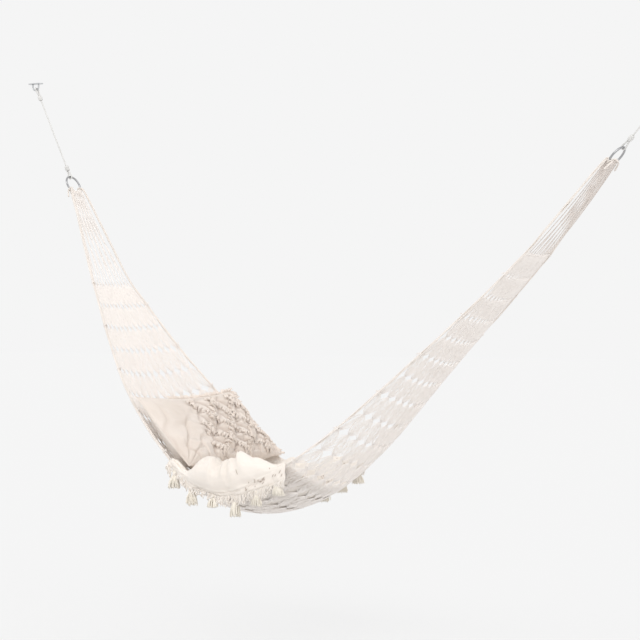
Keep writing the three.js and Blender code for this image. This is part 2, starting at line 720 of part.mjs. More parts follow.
const headHook = at(...HEAD_HOOK);
const footHook = footRing.middle.clone().addScaledVector(footRing.clewAxis, -ringRadius - FOOT_ROPE_RUN);
const headMount = addEyePlate("head", headRing, headHook);
addEyePlate("foot", footRing, footHook);
for (const [side, ring, hook, row] of [["head", headRing, headHook, 0],
  ["foot", footRing, footHook, NET_ROWS - 1]]) {
  addHangingRope(side, ring, hook);
  addRing(side, ring);
  addClew(side, ring, row);
}
addMesh("net_bed", netGeometry(), cotton);
for (const [side, share] of [["near", -1], ["far", 1]]) {
  const edgeCord = cordThrough(edgeCordPath(share), EDGE_CORD_DIAMETER / 2, CORD_SIDES);
  addMesh(`${side}_edge_cord`, edgeCord, knottedCotton);
  for (let i = 0; i < TASSELS_PER_SIDE; i += 1) {
    const run = QUILT_LENGTH - 2 * TASSEL_INSET;
    const distance = quiltStart + TASSEL_INSET + (run * i) / (TASSELS_PER_SIDE - 1);
    addMesh(`quilt_${side}_tassel_${i + 1}`, tasselGeometry(distance, share), tasselYarn);
  }
}
addMesh("pillow", layOnBed(PILLOW_GRID, pillowPlace), pillowCloth);
addMesh("quilt", layOnBed(QUILT_GRID, quiltPlace), quiltCloth);

// The origin goes to the middle of the head plate's upper face
hammock.position.copy(headMount).negate();
const hung = new THREE.Group();
hung.add(hammock);

export default hung;
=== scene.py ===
"""A cotton string hammock on two ropes, with a fringed pillow and a tasselled quilt, dressed round its
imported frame. Metres, +X from the head to the foot, +Y to the far side, +Z up."""

import bpy
import numpy as np
from mathutils import Matrix, Vector


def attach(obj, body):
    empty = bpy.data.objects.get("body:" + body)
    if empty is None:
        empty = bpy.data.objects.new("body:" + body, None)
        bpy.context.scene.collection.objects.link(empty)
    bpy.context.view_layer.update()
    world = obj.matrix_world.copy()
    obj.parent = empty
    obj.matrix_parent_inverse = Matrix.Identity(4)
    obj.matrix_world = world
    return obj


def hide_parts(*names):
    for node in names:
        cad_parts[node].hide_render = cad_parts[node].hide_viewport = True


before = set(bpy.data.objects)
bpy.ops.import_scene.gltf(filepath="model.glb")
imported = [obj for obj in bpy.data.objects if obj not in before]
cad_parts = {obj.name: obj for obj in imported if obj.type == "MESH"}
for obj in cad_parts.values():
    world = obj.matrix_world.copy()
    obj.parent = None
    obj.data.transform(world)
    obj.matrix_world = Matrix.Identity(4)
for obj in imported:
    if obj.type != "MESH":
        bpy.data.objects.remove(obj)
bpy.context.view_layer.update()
rng = np.random.default_rng(7)

# Camera: level, 32 degrees round to the right of the near side
CAMERA_PLACE = (4.33412, -4.932, -0.88359)
CAMERA_AZIMUTH = 32.0
CAMERA_LENS = 97.54
SENSOR_WIDTH = 36.0

# Where the hammock hangs, laid out from a point under the seat as (along, height)
HEAD_HOOK = (-1.012, 1.503)
HEAD_RING = (-0.836, 1.141)
FOOT_RING = (1.294, 1.141)
FOOT_ROPE_RUN = 0.215
PLATE_THICKNESS = 0.003
EYE_RADIUS = 0.014
EYE_LEG = 0.009
EYE_WIRE_RADIUS = 0.003

# The bed between the clews: along, height of the edge cords, width between them, depth of the hollow
BED_STATIONS = np.array([
    (-0.652, 0.775, 0.200, 0.006),
    (-0.494, 0.534, 0.375, 0.025),
    (-0.375, 0.382, 0.490, 0.062),
    (-0.228, 0.222, 0.550, 0.095),
    (-0.090, 0.108, 0.550, 0.100),
    (0.040, 0.078, 0.520, 0.092),
    (0.200, 0.138, 0.480, 0.102),
    (0.400, 0.272, 0.405, 0.085),
    (0.650, 0.485, 0.310, 0.045),
    (0.900, 0.716, 0.205, 0.018),
    (1.033, 0.848, 0.155, 0.008),
])

# Net
NET_ROWS = 26
KNOTS_PER_ROW = 12
NET_THICKNESS = 0.0032
NET_STRING = 0.0020
NET_PAIR = 0.0013
NET_FOLLOW = 0.75
NET_SLACK = 0.0016

# The four pairs of strings on each side of a mesh: their names, and how far they spread in half a mesh
NET_PAIRS = (("inner", 0.12), ("second", 0.40), ("third", 0.69), ("outer", 0.98))

# Knots, edge cords and clews
KNOT_SIZE = (0.0150, 0.0100, 0.0056)
KNOT_STRING = 0.0022
EDGE_CORD = 0.006
EDGE_LAY = 0.020
EDGE_STRING = 0.0036
EDGE_WINDS = ((0.42, 0.4), (0.31, 2.6), (0.53, 4.4))
EDGE_TAIL = 0.030
KNOT_WIDTH = 0.009
SEAT_GAP = 0.0003
BED_GAP = 0.0005
CORD_BESIDE = KNOT_WIDTH / 2 + SEAT_GAP + EDGE_CORD / 2
CLEW_CORD = 0.0032
CLEW_SAG = 0.016
CLEW_LOOSE = 0.006
CLEW_APART = (0.0011, 0.0009)
CLEW_HALF_ARC = 38.0
EDGE_HITCH_ARC = 55.0

# Rings and their whipping
RING_DIAMETER = 0.075
RING_WIRE = 0.007
WHIPPING_CORD = 0.0026
WHIPPING_HALF_ARC = 66.0

# Ropes
ROPE = 0.006
ROPE_LAY = 0.017

# A laid strand's radius, and its distance from the rope's middle, as a share of the rope's diameter
STRAND_SHARE = 0.25

# Loops and seized knots
LOOP_LENGTH = 0.024
BARREL_LENGTH = 0.022
BARREL_WALL = 0.0022
SWING_GAP = 0.0008

# Pillow and quilt, by their distance down the bed from the net's head end
PILLOW_PLACE = 0.672
PILLOW_LENGTH = 0.332
PILLOW_WIDTH = 0.560
PILLOW_SEAM_RISE = 0.034
PILLOW_CROWN = 0.040
PILLOW_DRAW_IN = 0.06
PILLOW_SEAM_LIFT = 0.002
LATTICE = (0.13, 0.13)
QUILT_TUCK = 0.068
QUILT_CLEARANCE = 0.002
QUILT_SLOPE_LENGTH = 0.040
QUILT_LENGTH = 0.480
QUILT_SIDE_MARGIN = 0.018
QUILT_THICKNESS = 0.020
QUILT_RIM = 0.009
QUILT_FOLD = 0.005
QUILT_FOLDS = 4
CORD_CLEARANCE = 0.0011
FLAP_DROP = (0.012, 0.038)
FLAP_THICKNESS = 0.007
HEM_THICKNESS = 0.005
QUILT_RIDGES = (0.084, 0.036)
QUILT_HEAP = 0.030
QUILT_HALF_WIDTH = 0.35
TASSELS_PER_SIDE = 6
TASSEL_INSET = 0.028
TASSEL_DROP = 0.092
TASSEL_NECK = 0.0014

# How far down a tassel its neck ends, its head's middle, its skirt's top and its binding lie, as shares
TASSEL_PARTS = (0.12, 0.19, 0.29, 0.31)
TASSEL_SIZES = (0.85, 0.92, 0.62, 1.05, 0.95, 1.0)

# The relief of the two cloths: heights and depths, and the pitches of the quilt's gathers and bunches
QUILT_PUFFS = (0.0055, 0.0030)
QUILT_CREASE = 0.0025
GATHER_PITCH = 0.058
BUNCH_PITCH = 0.062
PILLOW_PUFF = 0.015
PILLOW_RAY = 0.009
PILLOW_LUMP = 0.010
PILLOW_WAVES = (0.006, 0.0022)

# How many strands of yarn there are: on a tassel, on a hem and down its head rim, along the pillow's far
# and head seams, and in the quilt's tufts, and how many dashes of dark yarn lie on the quilt as painted
# shadows
TASSEL_STRANDS = 72
HEM_STRANDS = (170, 26)
SEAM_STRANDS = (62, 84)
TUFT_ROWS = 8
TUFTS_PER_ROW = 11
STRANDS_PER_TUFT = 4
SHADOW_DASHES = 150

# The parts of the quilt's half width that lie on the bed and that turn over the edge cord
BED_PART = 0.82
TURN_PART = 0.05

AHEAD = np.array([1.0, 0.0, 0.0])
ACROSS = np.array([0.0, 1.0, 0.0])
UP = np.array([0.0, 0.0, 1.0])
DOWN = np.array([0.0, 0.0, -1.0])


def unit(v):
    """Vectors of length one."""
    return v / np.maximum(np.linalg.norm(v, axis=-1, keepdims=True), 1e-12)


def dot(a, b):
    """Dot products, kept as a last axis of one."""
    return (a * b).sum(-1, keepdims=True)


def ease(x):
    """A smooth step from 0 to 1."""
    x = np.clip(x, 0, 1)
    return x * x * (3 - 2 * x)


# The origin is the middle of the head plate's upper face, so the layout is moved by that point.
HEAD_PULL = unit(np.subtract(HEAD_RING, HEAD_HOOK))
PLATE_TOP = np.array(HEAD_HOOK) - HEAD_PULL * EYE_RADIUS + (0, EYE_LEG + PLATE_THICKNESS)
ORIGIN = np.array([-PLATE_TOP[0], 0.0, -PLATE_TOP[1]])


def spot(along, height, across=0.0):
    """A point of the layout, in the part's own frame."""
    return np.array([along, across, height]) + ORIGIN


def spline(stations, share, centripetal):
    """Catmull-Rom curve through rows of numbers, at shares of its count of spans: on each span the cubic
    whose end slopes follow its neighbours, with knots a root of a distance apart where it is centripetal."""
    rows = np.vstack([2 * stations[0] - stations[1], stations, 2 * stations[-1] - stations[-2]])
    spans = len(stations) - 1
    run = np.clip(np.asarray(share, float), 0, 1) * spans
    i = np.minimum(run.astype(int), spans - 1)
    w = (run - i)[..., None]
    a, b, c, d = (rows[i + k] for k in range(4))
    if centripetal:
        legs = (b - a, c - b, d - c)
        e, f, g = (np.sqrt(np.linalg.norm(leg, axis=-1, keepdims=True)) for leg in legs)
        out = ((b - a) / e - (c - a) / (e + f) + (c - b) / f) * f
        into = ((c - b) / f - (d - b) / (f + g) + (d - c) / g) * f
    else:
        out, into = (c - a) / 2, (d - b) / 2
    return b + out * w + (3 * (c - b) - 2 * out - into) * w**2 + (2 * (b - c) + out + into) * w**3


EDGE_LINE, BED_FORM = BED_STATIONS[:, :2], BED_STATIONS[:, 2:]
FINE = np.linspace(0, 1, 4001)
FINE_RUN = np.linalg.norm(np.diff(spline(EDGE_LINE, FINE, True), axis=0), axis=1)
FINE_RUN = np.concatenate([[0], np.cumsum(FINE_RUN)])
BED_LENGTH = FINE_RUN[-1]
ROW_PITCH = BED_LENGTH / (NET_ROWS - 1)
HALF_MESH = 1 / (KNOTS_PER_ROW - 0.5)
QUILT_START = PILLOW_PLACE + PILLOW_LENGTH / 2 - QUILT_TUCK


def bed_point(distance, share):
    """The bed's surface: the edge line at a distance along it, moved across by a share of half the width,
    and down by the hollow's depth times one less the share's square."""
    distance, share = np.broadcast_arrays(np.asarray(distance, float), np.asarray(share, float))
    t = np.interp(distance, FINE_RUN, FINE)
    middle = spline(EDGE_LINE, t, True)
    ahead = unit(spline(EDGE_LINE, t + 1e-4, True) - spline(EDGE_LINE, t - 1e-4, True))
    width, hollow = np.moveaxis(spline(BED_FORM, t, False), -1, 0)
    drop = hollow * (1 - share**2)
    along = middle[..., 0] + ahead[..., 1] * drop
    height = middle[..., 1] - ahead[..., 0] * drop
    return np.stack([along, share * width / 2, height], -1) + ORIGIN


def bed_width(distance):
    """The straight width between the edge lines."""
    return spline(BED_FORM, np.interp(distance, FINE_RUN, FINE), False)[..., 0]


def bed_frame(distance, share):
    """A bed point with the directions along it, across it and out of its upper side."""
    distance, share = np.broadcast_arrays(np.asarray(distance, float), np.asarray(share, float))
    step, nudge = 0.0005, 0.002
    ends = np.minimum(distance + step, BED_LENGTH), np.maximum(distance - step, 0)
    along = unit(bed_point(ends[0], share) - bed_point(ends[1], share))
    across = bed_point(distance, share + nudge) - bed_point(distance, share - nudge)
    across = unit(across - along * dot(across, along))
    return bed_point(distance, share), along, across, np.cross(along, across)


def net_crown(distance, share):
    """How far a soft body stands off the curved bed to lie on the net's straight strings."""
    point, _, _, out = bed_frame(distance, share)
    rise = 0.0
    for lean in (-HALF_MESH / 2, HALF_MESH / 2):
        before = bed_point(distance - ROW_PITCH / 2, share - lean)
        string = before + bed_point(distance + ROW_PITCH / 2, share + lean)
        rise = np.maximum(rise, ((string / 2 - point) * out).sum(-1))
    return rise + NET_THICKNESS / 2 + BED_GAP


def wander(x, y, seed):
    """Smooth noise from -1 to 1: random heights on a square lattice, with smooth steps between them."""
    table = np.random.default_rng(seed).uniform(-1, 1, (61, 61))
    i, j = np.floor(x).astype(int), np.floor(y).astype(int)
    a, b = ease(x - i), ease(y - j)
    near = table[i % 61, j % 61] * (1 - a) + table[(i + 1) % 61, j % 61] * a
    far = table[i % 61, (j + 1) % 61] * (1 - a) + table[(i + 1) % 61, (j + 1) % 61] * a
    return near * (1 - b) + far * b


def run_of(path):
    """Distances along paths of shape (..., steps, 3)."""
    legs = np.linalg.norm(np.diff(path, axis=-2), axis=-1)
    return np.concatenate([np.zeros(legs.shape[:-1] + (1,)), np.cumsum(legs, axis=-1)], axis=-1)


def spaced(path, step):
    """A path again, with points evenly about a step apart."""
    run = run_of(path)
    places = np.linspace(0, run[-1], max(2, int(round(run[-1] / step)) + 1))
    return np.stack([np.interp(places, run, path[:, k]) for k in range(3)], -1)


def smooth(points, step):
    """A smooth path through points, evenly spaced."""
    points = np.asarray(points, float)
    return spaced(spline(points, np.linspace(0, 1, 24 * len(points)), True), step)


def carried(paths, start):
    """The directions of paths, and two side vectors carried along them without twisting."""
    along = unit(np.gradient(paths, axis=-2))
    side = np.empty_like(along)
    now = np.broadcast_to(np.asarray(start, float), along[..., 0, :].shape)
    for i in range(paths.shape[-2]):
        now = unit(now - dot(now, along[..., i, :]) * along[..., i, :])
        side[..., i, :] = now
    return along, side, np.cross(along, side)


def tubes(paths, radius, sides=6, start=(0.0, 0.0, 1.0)):
    """Cords along paths of shape (cords, steps, 3): a ring of points round each step, closed by flat ends.
    The UV map holds metres along a cord and the share of a turn round it, and each cord has one random
    tint."""
    paths = paths[None] if paths.ndim == 2 else paths
    cords, steps = paths.shape[:2]
    _, side, other = carried(paths, start)
    turn = np.arange(sides) * 2 * np.pi / sides
    ring = side[:, :, None] * np.cos(turn)[:, None] + other[:, :, None] * np.sin(turn)[:, None]
    points = paths[:, :, None] + ring * np.broadcast_to(radius, (cords, steps))[..., None, None]
    i, k = np.meshgrid(np.arange(steps - 1), np.arange(sides), indexing="ij")
    i, k = i.ravel(), k.ravel()
    after = (k + 1) % sides
    wall = np.stack([i * sides + k, i * sides + after, (i + 1) * sides + after, (i + 1) * sides + k], -1)
    fan = np.arange(1, sides - 2, 2)
    first = np.stack([0 * fan, fan + 2, fan + 1, fan], -1)
    last = np.stack([0 * fan, fan, fan + 1, fan + 2], -1) + (steps - 1) * sides
    quads = np.concatenate([wall, first, last])
    along = run_of(paths)
    round_it = np.stack([k, k + 1, k + 1, k], -1) / sides
    uv = np.empty((cords, len(quads), 4, 2))
    uv[..., 0] = np.repeat(along, sides, axis=1)[:, quads]
    uv[:, :len(wall), :, 1] = round_it
    uv[:, len(wall):, :, 1] = 0.5
    offset = np.arange(cords)[:, None, None] * steps * sides
    tint = np.repeat(rng.random(cords), steps * sides)
    return points.reshape(-1, 3), (quads + offset).reshape(-1, 4), uv.reshape(-1, 4, 2), tint


def laid(path, strands, radius, lay, steps=8, start=(0.0, 1.0, 0.0)):
    """The middle lines of strands laid round a path: helices at a radius, one turn in a length of lay."""
    path = spaced(path, lay / steps)
    _, side, other = carried(path, start)
    turn = 2 * np.pi * (run_of(path) / lay + np.arange(strands)[:, None] / strands)
    return path + radius * (np.cos(turn)[..., None] * side + np.sin(turn)[..., None] * other)


def piece(name, parts, material, body, nodes=()):
    """A mesh piece at the origin, made of one or more (points, quads, uv, tint)."""
    parts = parts if isinstance(parts, list) else [parts]
    offset, quads = 0, []
    for part in parts:
        quads.append(part[1] + offset)
        offset += len(part[0])
    quads = np.concatenate(quads).astype(np.int32)
    mesh = bpy.data.meshes.new(name)
    mesh.vertices.add(offset)
    mesh.vertices.foreach_set("co", np.concatenate([p[0] for p in parts]).astype(np.float32).ravel())
    mesh.loops.add(quads.size)
    mesh.loops.foreach_set("vertex_index", quads.ravel())
    mesh.polygons.add(len(quads))
    mesh.polygons.foreach_set("loop_start", np.arange(0, quads.size, 4, dtype=np.int32))
    mesh.polygons.foreach_set("use_smooth", np.ones(len(quads), bool))
    layer = mesh.uv_layers.new(name="lay")
    layer.uv.foreach_set("vector", np.concatenate([p[2] for p in parts]).astype(np.float32).ravel())
    tint = mesh.attributes.new("tint", "FLOAT", "POINT")
    tint.data.foreach_set("value", np.concatenate([p[3] for p in parts]).astype(np.float32))
    mesh.update(calc_edges=True)
    mesh.materials.append(material)
    made = bpy.data.objects.new(name, mesh)
    bpy.context.scene.collection.objects.link(made)
    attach(made, body)
    if nodes:
        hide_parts(*nodes)
    return made


def closed_skin(upper, lower, flat, tint):
    """A closed body from two grids of points with one rim. flat holds each grid point's place on the cloth,
    and tint how far the upper side's colour is darkened there, mostly as painted shade in its creases."""
    rows, columns = upper.shape[:2]
    inner = np.zeros((rows, columns), bool)
    inner[1:-1, 1:-1] = True
    top = np.arange(rows * columns).reshape(rows, columns)
    under = top.copy()
    under[inner] = rows * columns + np.arange(inner.sum())
    points = np.concatenate([upper.reshape(-1, 3), lower[inner]])
    quads, uv = [], []
    for index, turned in ((top, False), (under, True)):
        for grid, store in ((index, quads), (flat, uv)):
            ring = [grid[:-1, :-1], grid[1:, :-1], grid[1:, 1:], grid[:-1, 1:]]
            ring = ring[::-1] if turned else ring
            store.append(np.stack(ring, 2).reshape((-1, 4) + grid.shape[2:]))
    tint = np.append(tint.ravel(), np.zeros(inner.sum()))
    return points, np.concatenate(quads), np.concatenate(uv), tint


# Materials

def feed(tree, socket, value):
    """Sets an input to a constant, or links it to another node's output."""
    if isinstance(value, bpy.types.NodeSocket):
        tree.links.new(value, socket)
    else:
        socket.default_value = value


def add(tree, kind, inputs=(), **settings):
    """A node with its settings and its inputs."""
    made = tree.nodes.new(kind)
    for name, value in settings.items():
        setattr(made, name, value)
    for name, value in dict(inputs).items():
        feed(tree, made.inputs[name], value)
    return made


def sum_of(tree, operation, a, b=0.0, clamp=False):
    """The output of one Math node."""
    made = add(tree, "ShaderNodeMath", {0: a, 1: b}, operation=operation, use_clamp=clamp)
    return made.outputs[0]


def mixed(tree, share, a, b):
    """The colour between two colours, by a share."""
    made = add(tree, "ShaderNodeMix", data_type="RGBA")
    for index, value in ((0, share), (6, a), (7, b)):
        feed(tree, made.inputs[index], value)
    return made.outputs[2]


def group(name, inputs, outputs):
    """An empty node group with named inputs and outputs, and its two end nodes."""
    tree = bpy.data.node_groups.new(name, "ShaderNodeTree")
    for label, kind, value in inputs:
        socket = tree.interface.new_socket(label, in_out="INPUT", socket_type=kind)
        if value is not None:
            socket.default_value = value
    for label, kind in outputs:
        tree.interface.new_socket(label, in_out="OUTPUT", socket_type=kind)
    return tree, tree.nodes.new("NodeGroupInput"), tree.nodes.new("NodeGroupOutput")


FLOAT, VECTOR = "NodeSocketFloat", "NodeSocketVector"


def make_laid_strands():
    """Strands laid round a cord. Each corner's metres along, over the lay, plus its share of a turn, counts
    the strands, and a sine over each strand gives its round back. One less the back, squared, marks the
    grooves between the strands, where shade is painted into the colour."""
    tree, given, result = group(
        "laid_strands", [("Coordinates", VECTOR, None), ("Lay", FLOAT, 0.012), ("Strands", FLOAT, 3.0)],
        [("Height", FLOAT), ("Groove_Shade", FLOAT)])
    parts = add(tree, "ShaderNodeSeparateXYZ", {0: given.outputs["Coordinates"]})
    turns = sum_of(tree, "DIVIDE", parts.outputs[0], given.outputs["Lay"])
    turns = sum_of(tree, "ADD", turns, parts.outputs[1])
    count = sum_of(tree, "MULTIPLY", turns, given.outputs["Strands"])
    back = sum_of(tree, "SINE", sum_of(tree, "MULTIPLY", sum_of(tree, "FRACT", count), np.pi))
    groove_shade = sum_of(tree, "POWER", sum_of(tree, "SUBTRACT", 1.0, back), 2.0)
    tree.links.new(back, result.inputs["Height"])
    tree.links.new(groove_shade, result.inputs["Groove_Shade"])
    return tree


def make_cotton_fibre():
    """Loose fibres: fine noise drawn out one way, and slow blotches for the colour."""
    tree, given, result = group(
        "cotton_fibre", [("Coordinates", VECTOR, None), ("Fineness", FLOAT, 900.0), ("Blotch", FLOAT, 14.0)],
        [("Height", FLOAT), ("Shade", FLOAT)])
    fine = add(tree, "ShaderNodeTexNoise", {
        "Vector": given.outputs["Coordinates"], "Scale": given.outputs["Fineness"], "Detail": 3.0})
    slow = add(tree, "ShaderNodeTexNoise", {
        "Vector": given.outputs["Coordinates"], "Scale": given.outputs["Blotch"], "Detail": 2.0})
    tree.links.new(fine.outputs["Fac"], result.inputs["Height"])
    tree.links.new(slow.outputs["Fac"], result.inputs["Shade"])
    return tree


def make_plain_weave():
    """A plain weave: on the squares of a checker, the back of a warp or of a weft thread, as a sine."""
    tree, given, result = group(
        "plain_weave", [("Coordinates", VECTOR, None), ("Threads", FLOAT, 700.0)], [("Height", FLOAT)])
    scaled = add(tree, "ShaderNodeVectorMath", {
        0: given.outputs["Coordinates"], "Scale": given.outputs["Threads"]}, operation="SCALE")
    parts = add(tree, "ShaderNodeSeparateXYZ", {0: scaled.outputs[0]})
    backs = [sum_of(tree, "SINE", sum_of(tree, "MULTIPLY", sum_of(tree, "FRACT", parts.outputs[k]), np.pi))
             for k in range(2)]
    squares = add(tree, "ShaderNodeTexChecker", {"Vector": scaled.outputs[0], "Scale": 1.0})
    chosen = add(tree, "ShaderNodeMix", {0: squares.outputs["Fac"], 2: backs[0], 3: backs[1]})
    tree.links.new(chosen.outputs[0], result.inputs["Height"])
    return tree


LAID_STRANDS = make_laid_strands()
COTTON_FIBRE = make_cotton_fibre()
PLAIN_WEAVE = make_plain_weave()


def use(tree, node_group, inputs):
    """A group placed in a material."""
    made = tree.nodes.new("ShaderNodeGroup")
    made.node_tree = node_group
    for name, value in inputs.items():
        feed(tree, made.inputs[name], value)
    return made


def new_material(name):
    """An empty material and its node tree."""
    made = bpy.data.materials.new(name)
    made.use_nodes = True
    made.node_tree.nodes.clear()
    return made, made.node_tree


def finish_material(tree, colour, roughness, height, depth, metallic=0.0, sheen=0.0):
    """The surface shader and a bump of some depth in metres."""
    bump = add(tree, "ShaderNodeBump", {"Strength": 1.0, "Distance": depth, "Height": height})
    shader = add(tree, "ShaderNodeBsdfPrincipled", {
        "Base Color": colour, "Roughness": roughness, "Metallic": metallic, "Normal": bump.outputs[0],
        "Sheen Weight": sheen, "Sheen Roughness": 0.5})
    add(tree, "ShaderNodeOutputMaterial", {"Surface": shader.outputs[0]})


def cord_material(name, light, shade, groove_shade, lay, strands, depth, roughness=0.9):
    """Twisted cotton: strands laid round the cord, fibres, and a tint of its own for each cord. The grooves
    between the strands are darkened towards the groove colour, as painted shade.
    """
    made, tree = new_material(name)
    uv = add(tree, "ShaderNodeUVMap", uv_map="lay").outputs[0]
    place = add(tree, "ShaderNodeTexCoord").outputs["Object"]
    tint = add(tree, "ShaderNodeAttribute", attribute_name="tint").outputs["Fac"]
    strand = use(tree, LAID_STRANDS, {"Coordinates": uv, "Lay": lay, "Strands": strands})
    fibre = use(tree, COTTON_FIBRE, {"Coordinates": place})
    mottle_and_shade = sum_of(tree, "MULTIPLY", sum_of(tree, "ADD", tint, fibre.outputs["Shade"]), 0.5, clamp=True)
    colour = mixed(tree, mottle_and_shade, light, shade)
    # Painted shade: the grooves between the strands are darkened towards the groove colour.
    colour = mixed(tree, sum_of(tree, "MULTIPLY", strand.outputs["Groove_Shade"], 0.8), colour, groove_shade)
    height = sum_of(tree, "ADD", strand.outputs["Height"],
                    sum_of(tree, "MULTIPLY", fibre.outputs["Height"], 0.35))
    finish_material(tree, colour, roughness, height, depth, sheen=0.15)
    return made


def cloth_material(name, light, shade, crease, threads, depth):
    """Woven cotton: a plain weave on the cloth's own map, with blotches of shade. The gaps between the
    threads and the places that the tint marks are darkened towards the crease colour, as painted shade.
    """
    made, tree = new_material(name)
    uv = add(tree, "ShaderNodeUVMap", uv_map="lay").outputs[0]
    place = add(tree, "ShaderNodeTexCoord").outputs["Object"]
    weave = use(tree, PLAIN_WEAVE, {"Coordinates": uv, "Threads": threads})
    fibre = use(tree, COTTON_FIBRE, {"Coordinates": place, "Fineness": 420.0, "Blotch": 9.0})
    spread = add(tree, "ShaderNodeMapRange", {
        "Value": fibre.outputs["Shade"], "From Min": 0.35, "From Max": 0.65}).outputs[0]
    colour = mixed(tree, spread, light, shade)
    # Painted shade: the gaps between the threads and the places the tint marks go towards the crease colour.
    dip = sum_of(tree, "SUBTRACT", 1.0, weave.outputs["Height"], clamp=True)
    deep = add(tree, "ShaderNodeAttribute", attribute_name="tint").outputs["Fac"]
    mottle_and_shade = sum_of(tree, "ADD", sum_of(tree, "MULTIPLY", dip, 0.3), deep, clamp=True)
    colour = mixed(tree, mottle_and_shade, colour, crease)
    height = sum_of(tree, "ADD", weave.outputs["Height"],
                    sum_of(tree, "MULTIPLY", fibre.outputs["Height"], 0.8))
    finish_material(tree, colour, 0.95, height, depth, sheen=0.2)
    return made


def steel_material(name, light, dark, roughness, scale):
    """Steel with fine scratches and a little staining, in its colour and its roughness. Noise mixes a light
    and a dark tone; tones darker than bare steel, as on the rings, are painted dark reflections.
    """
    made, tree = new_material(name)
    place = add(tree, "ShaderNodeTexCoord").outputs["Object"]
    drawn = add(tree, "ShaderNodeMapping", {"Vector": place, "Scale": (1.0, 1.0, 7.0)}).outputs[0]
    fine = add(tree, "ShaderNodeTexNoise", {"Vector": drawn, "Scale": scale, "Detail": 5.0})
    scratch = fine.outputs["Fac"]
    stain_and_dark_reflection = add(tree, "ShaderNodeTexNoise", {"Vector": place, "Scale": 60.0, "Detail": 2.0}).outputs["Fac"]
    rough = add(tree, "ShaderNodeMapRange", {
        "Value": scratch, "From Min": 0.3, "From Max": 0.7,
        "To Min": roughness * 0.7, "To Max": roughness * 1.5})
    # Staining mixes the two tones; on the rings they also paint dark reflections.
    colour = mixed(tree, stain_and_dark_reflection, light, dark)
    finish_material(tree, colour, rough.outputs[0], scratch, 0.00002, metallic=1.0)
    return made


# Cord colours: a light and a darker tone that vary at random, and a groove colour, which is painted shade
# between the strands.
NET_COTTON = cord_material(
    "net_cotton", (0.95, 0.91, 0.88, 1), (0.91, 0.86, 0.82, 1), (0.78, 0.70, 0.64, 1), 0.009, 2.0, 0.0003)
EDGE_COTTON = cord_material(
    "edge_cotton", (0.94, 0.90, 0.86, 1), (0.86, 0.79, 0.73, 1), (0.64, 0.55, 0.48, 1), 0.008, 2.0, 0.0004)
# The foot clew's cotton is a darker copy of the net's: painted shade, for the clew that hangs in shadow.
SHADED_CLEW_COTTON = cord_material(
    "shaded_clew_cotton", (0.90, 0.85, 0.81, 1), (0.78, 0.71, 0.66, 1), (0.52, 0.44, 0.39, 1), 0.009, 2.0, 0.0005)
HANG_ROPE = cord_material(
    "hanging_rope", (0.84, 0.83, 0.81, 1), (0.72, 0.71, 0.69, 1), (0.48, 0.47, 0.46, 1), 0.007, 2.0, 0.0004)
FRINGE_YARN = cord_material(
    "fringe_yarn", (0.98, 0.91, 0.85, 1), (0.92, 0.83, 0.75, 1), (0.68, 0.56, 0.48, 1), 0.010, 3.0, 0.0005)
QUILT_YARN = cord_material(
    "quilt_yarn", (0.95, 0.91, 0.86, 1), (0.90, 0.83, 0.76, 1), (0.70, 0.60, 0.52, 1), 0.010, 3.0, 0.0005)
# Dark yarn for the short dashes on the quilt: painted shadows.
SHADOW_DASH_YARN = cord_material(
    "shadow_dash_yarn", (0.66, 0.57, 0.50, 1), (0.50, 0.41, 0.35, 1), (0.36, 0.28, 0.23, 1), 0.008, 3.0, 0.0004)
TASSEL_YARN = cord_material(
    "tassel_yarn", (0.96, 0.92, 0.84, 1), (0.91, 0.85, 0.75, 1), (0.70, 0.60, 0.49, 1), 0.010, 3.0, 0.0005)
# The cloths' crease colour is painted shade, in the weave's gaps and in the creases.
PILLOW_CLOTH = cloth_material(
    "pillow_cloth", (0.95, 0.87, 0.80, 1), (0.89, 0.80, 0.72, 1), (0.58, 0.47, 0.40, 1), 900.0, 0.0004)
QUILT_CLOTH = cloth_material(
    "quilt_cloth", (0.95, 0.89, 0.83, 1), (0.91, 0.84, 0.77, 1), (0.78, 0.69, 0.60, 1), 700.0, 0.0004)
# The ring's steel is darker than bare steel: painted dark reflections.
RING_STEEL = steel_material("ring_steel", (0.50, 0.50, 0.51, 1), (0.36, 0.36, 0.37, 1), 0.16, 220.0)
PLATE_STEEL = steel_material("plate_steel", (0.70, 0.71, 0.72, 1), (0.58, 0.59, 0.60, 1), 0.38, 300.0)


# Camera and studio

def make_camera():
    """A level camera, turned about the upright axis."""
    data = bpy.data.cameras.new("camera")
    data.lens = CAMERA_LENS
    data.sensor_width = SENSOR_WIDTH
    made = bpy.data.objects.new("camera", data)
    made.location = CAMERA_PLACE
    made.rotation_euler = (np.radians(90), 0, np.radians(CAMERA_AZIMUTH))
    bpy.context.scene.collection.objects.link(made)
    bpy.context.scene.camera = made


BACKDROP = 0.9131
ROOM_LIGHT = 0.95
FLOOR_BELOW_SEAT = 0.46
FLOOR_HALF_SIZE = 40.0
FLOOR_SHADOW = 0.25

# Soft suns: name and strength, then in degrees the tilt from straight down, the turn and the sun's angle
LAMPS = (("key", 0.72, 44, 8, 40), ("fill", 0.60, 80, 64, 60))


def seen_directly(tree):
    """1 for camera, mirror and glass rays, which show the backdrop, and 0 for the light on the object."""
    ray = add(tree, "ShaderNodeLightPath")
    both = sum_of(tree, "ADD", ray.outputs["Is Camera Ray"], ray.outputs["Is Glossy Ray"], clamp=True)
    return sum_of(tree, "ADD", both, ray.outputs["Is Transmission Ray"], clamp=True)


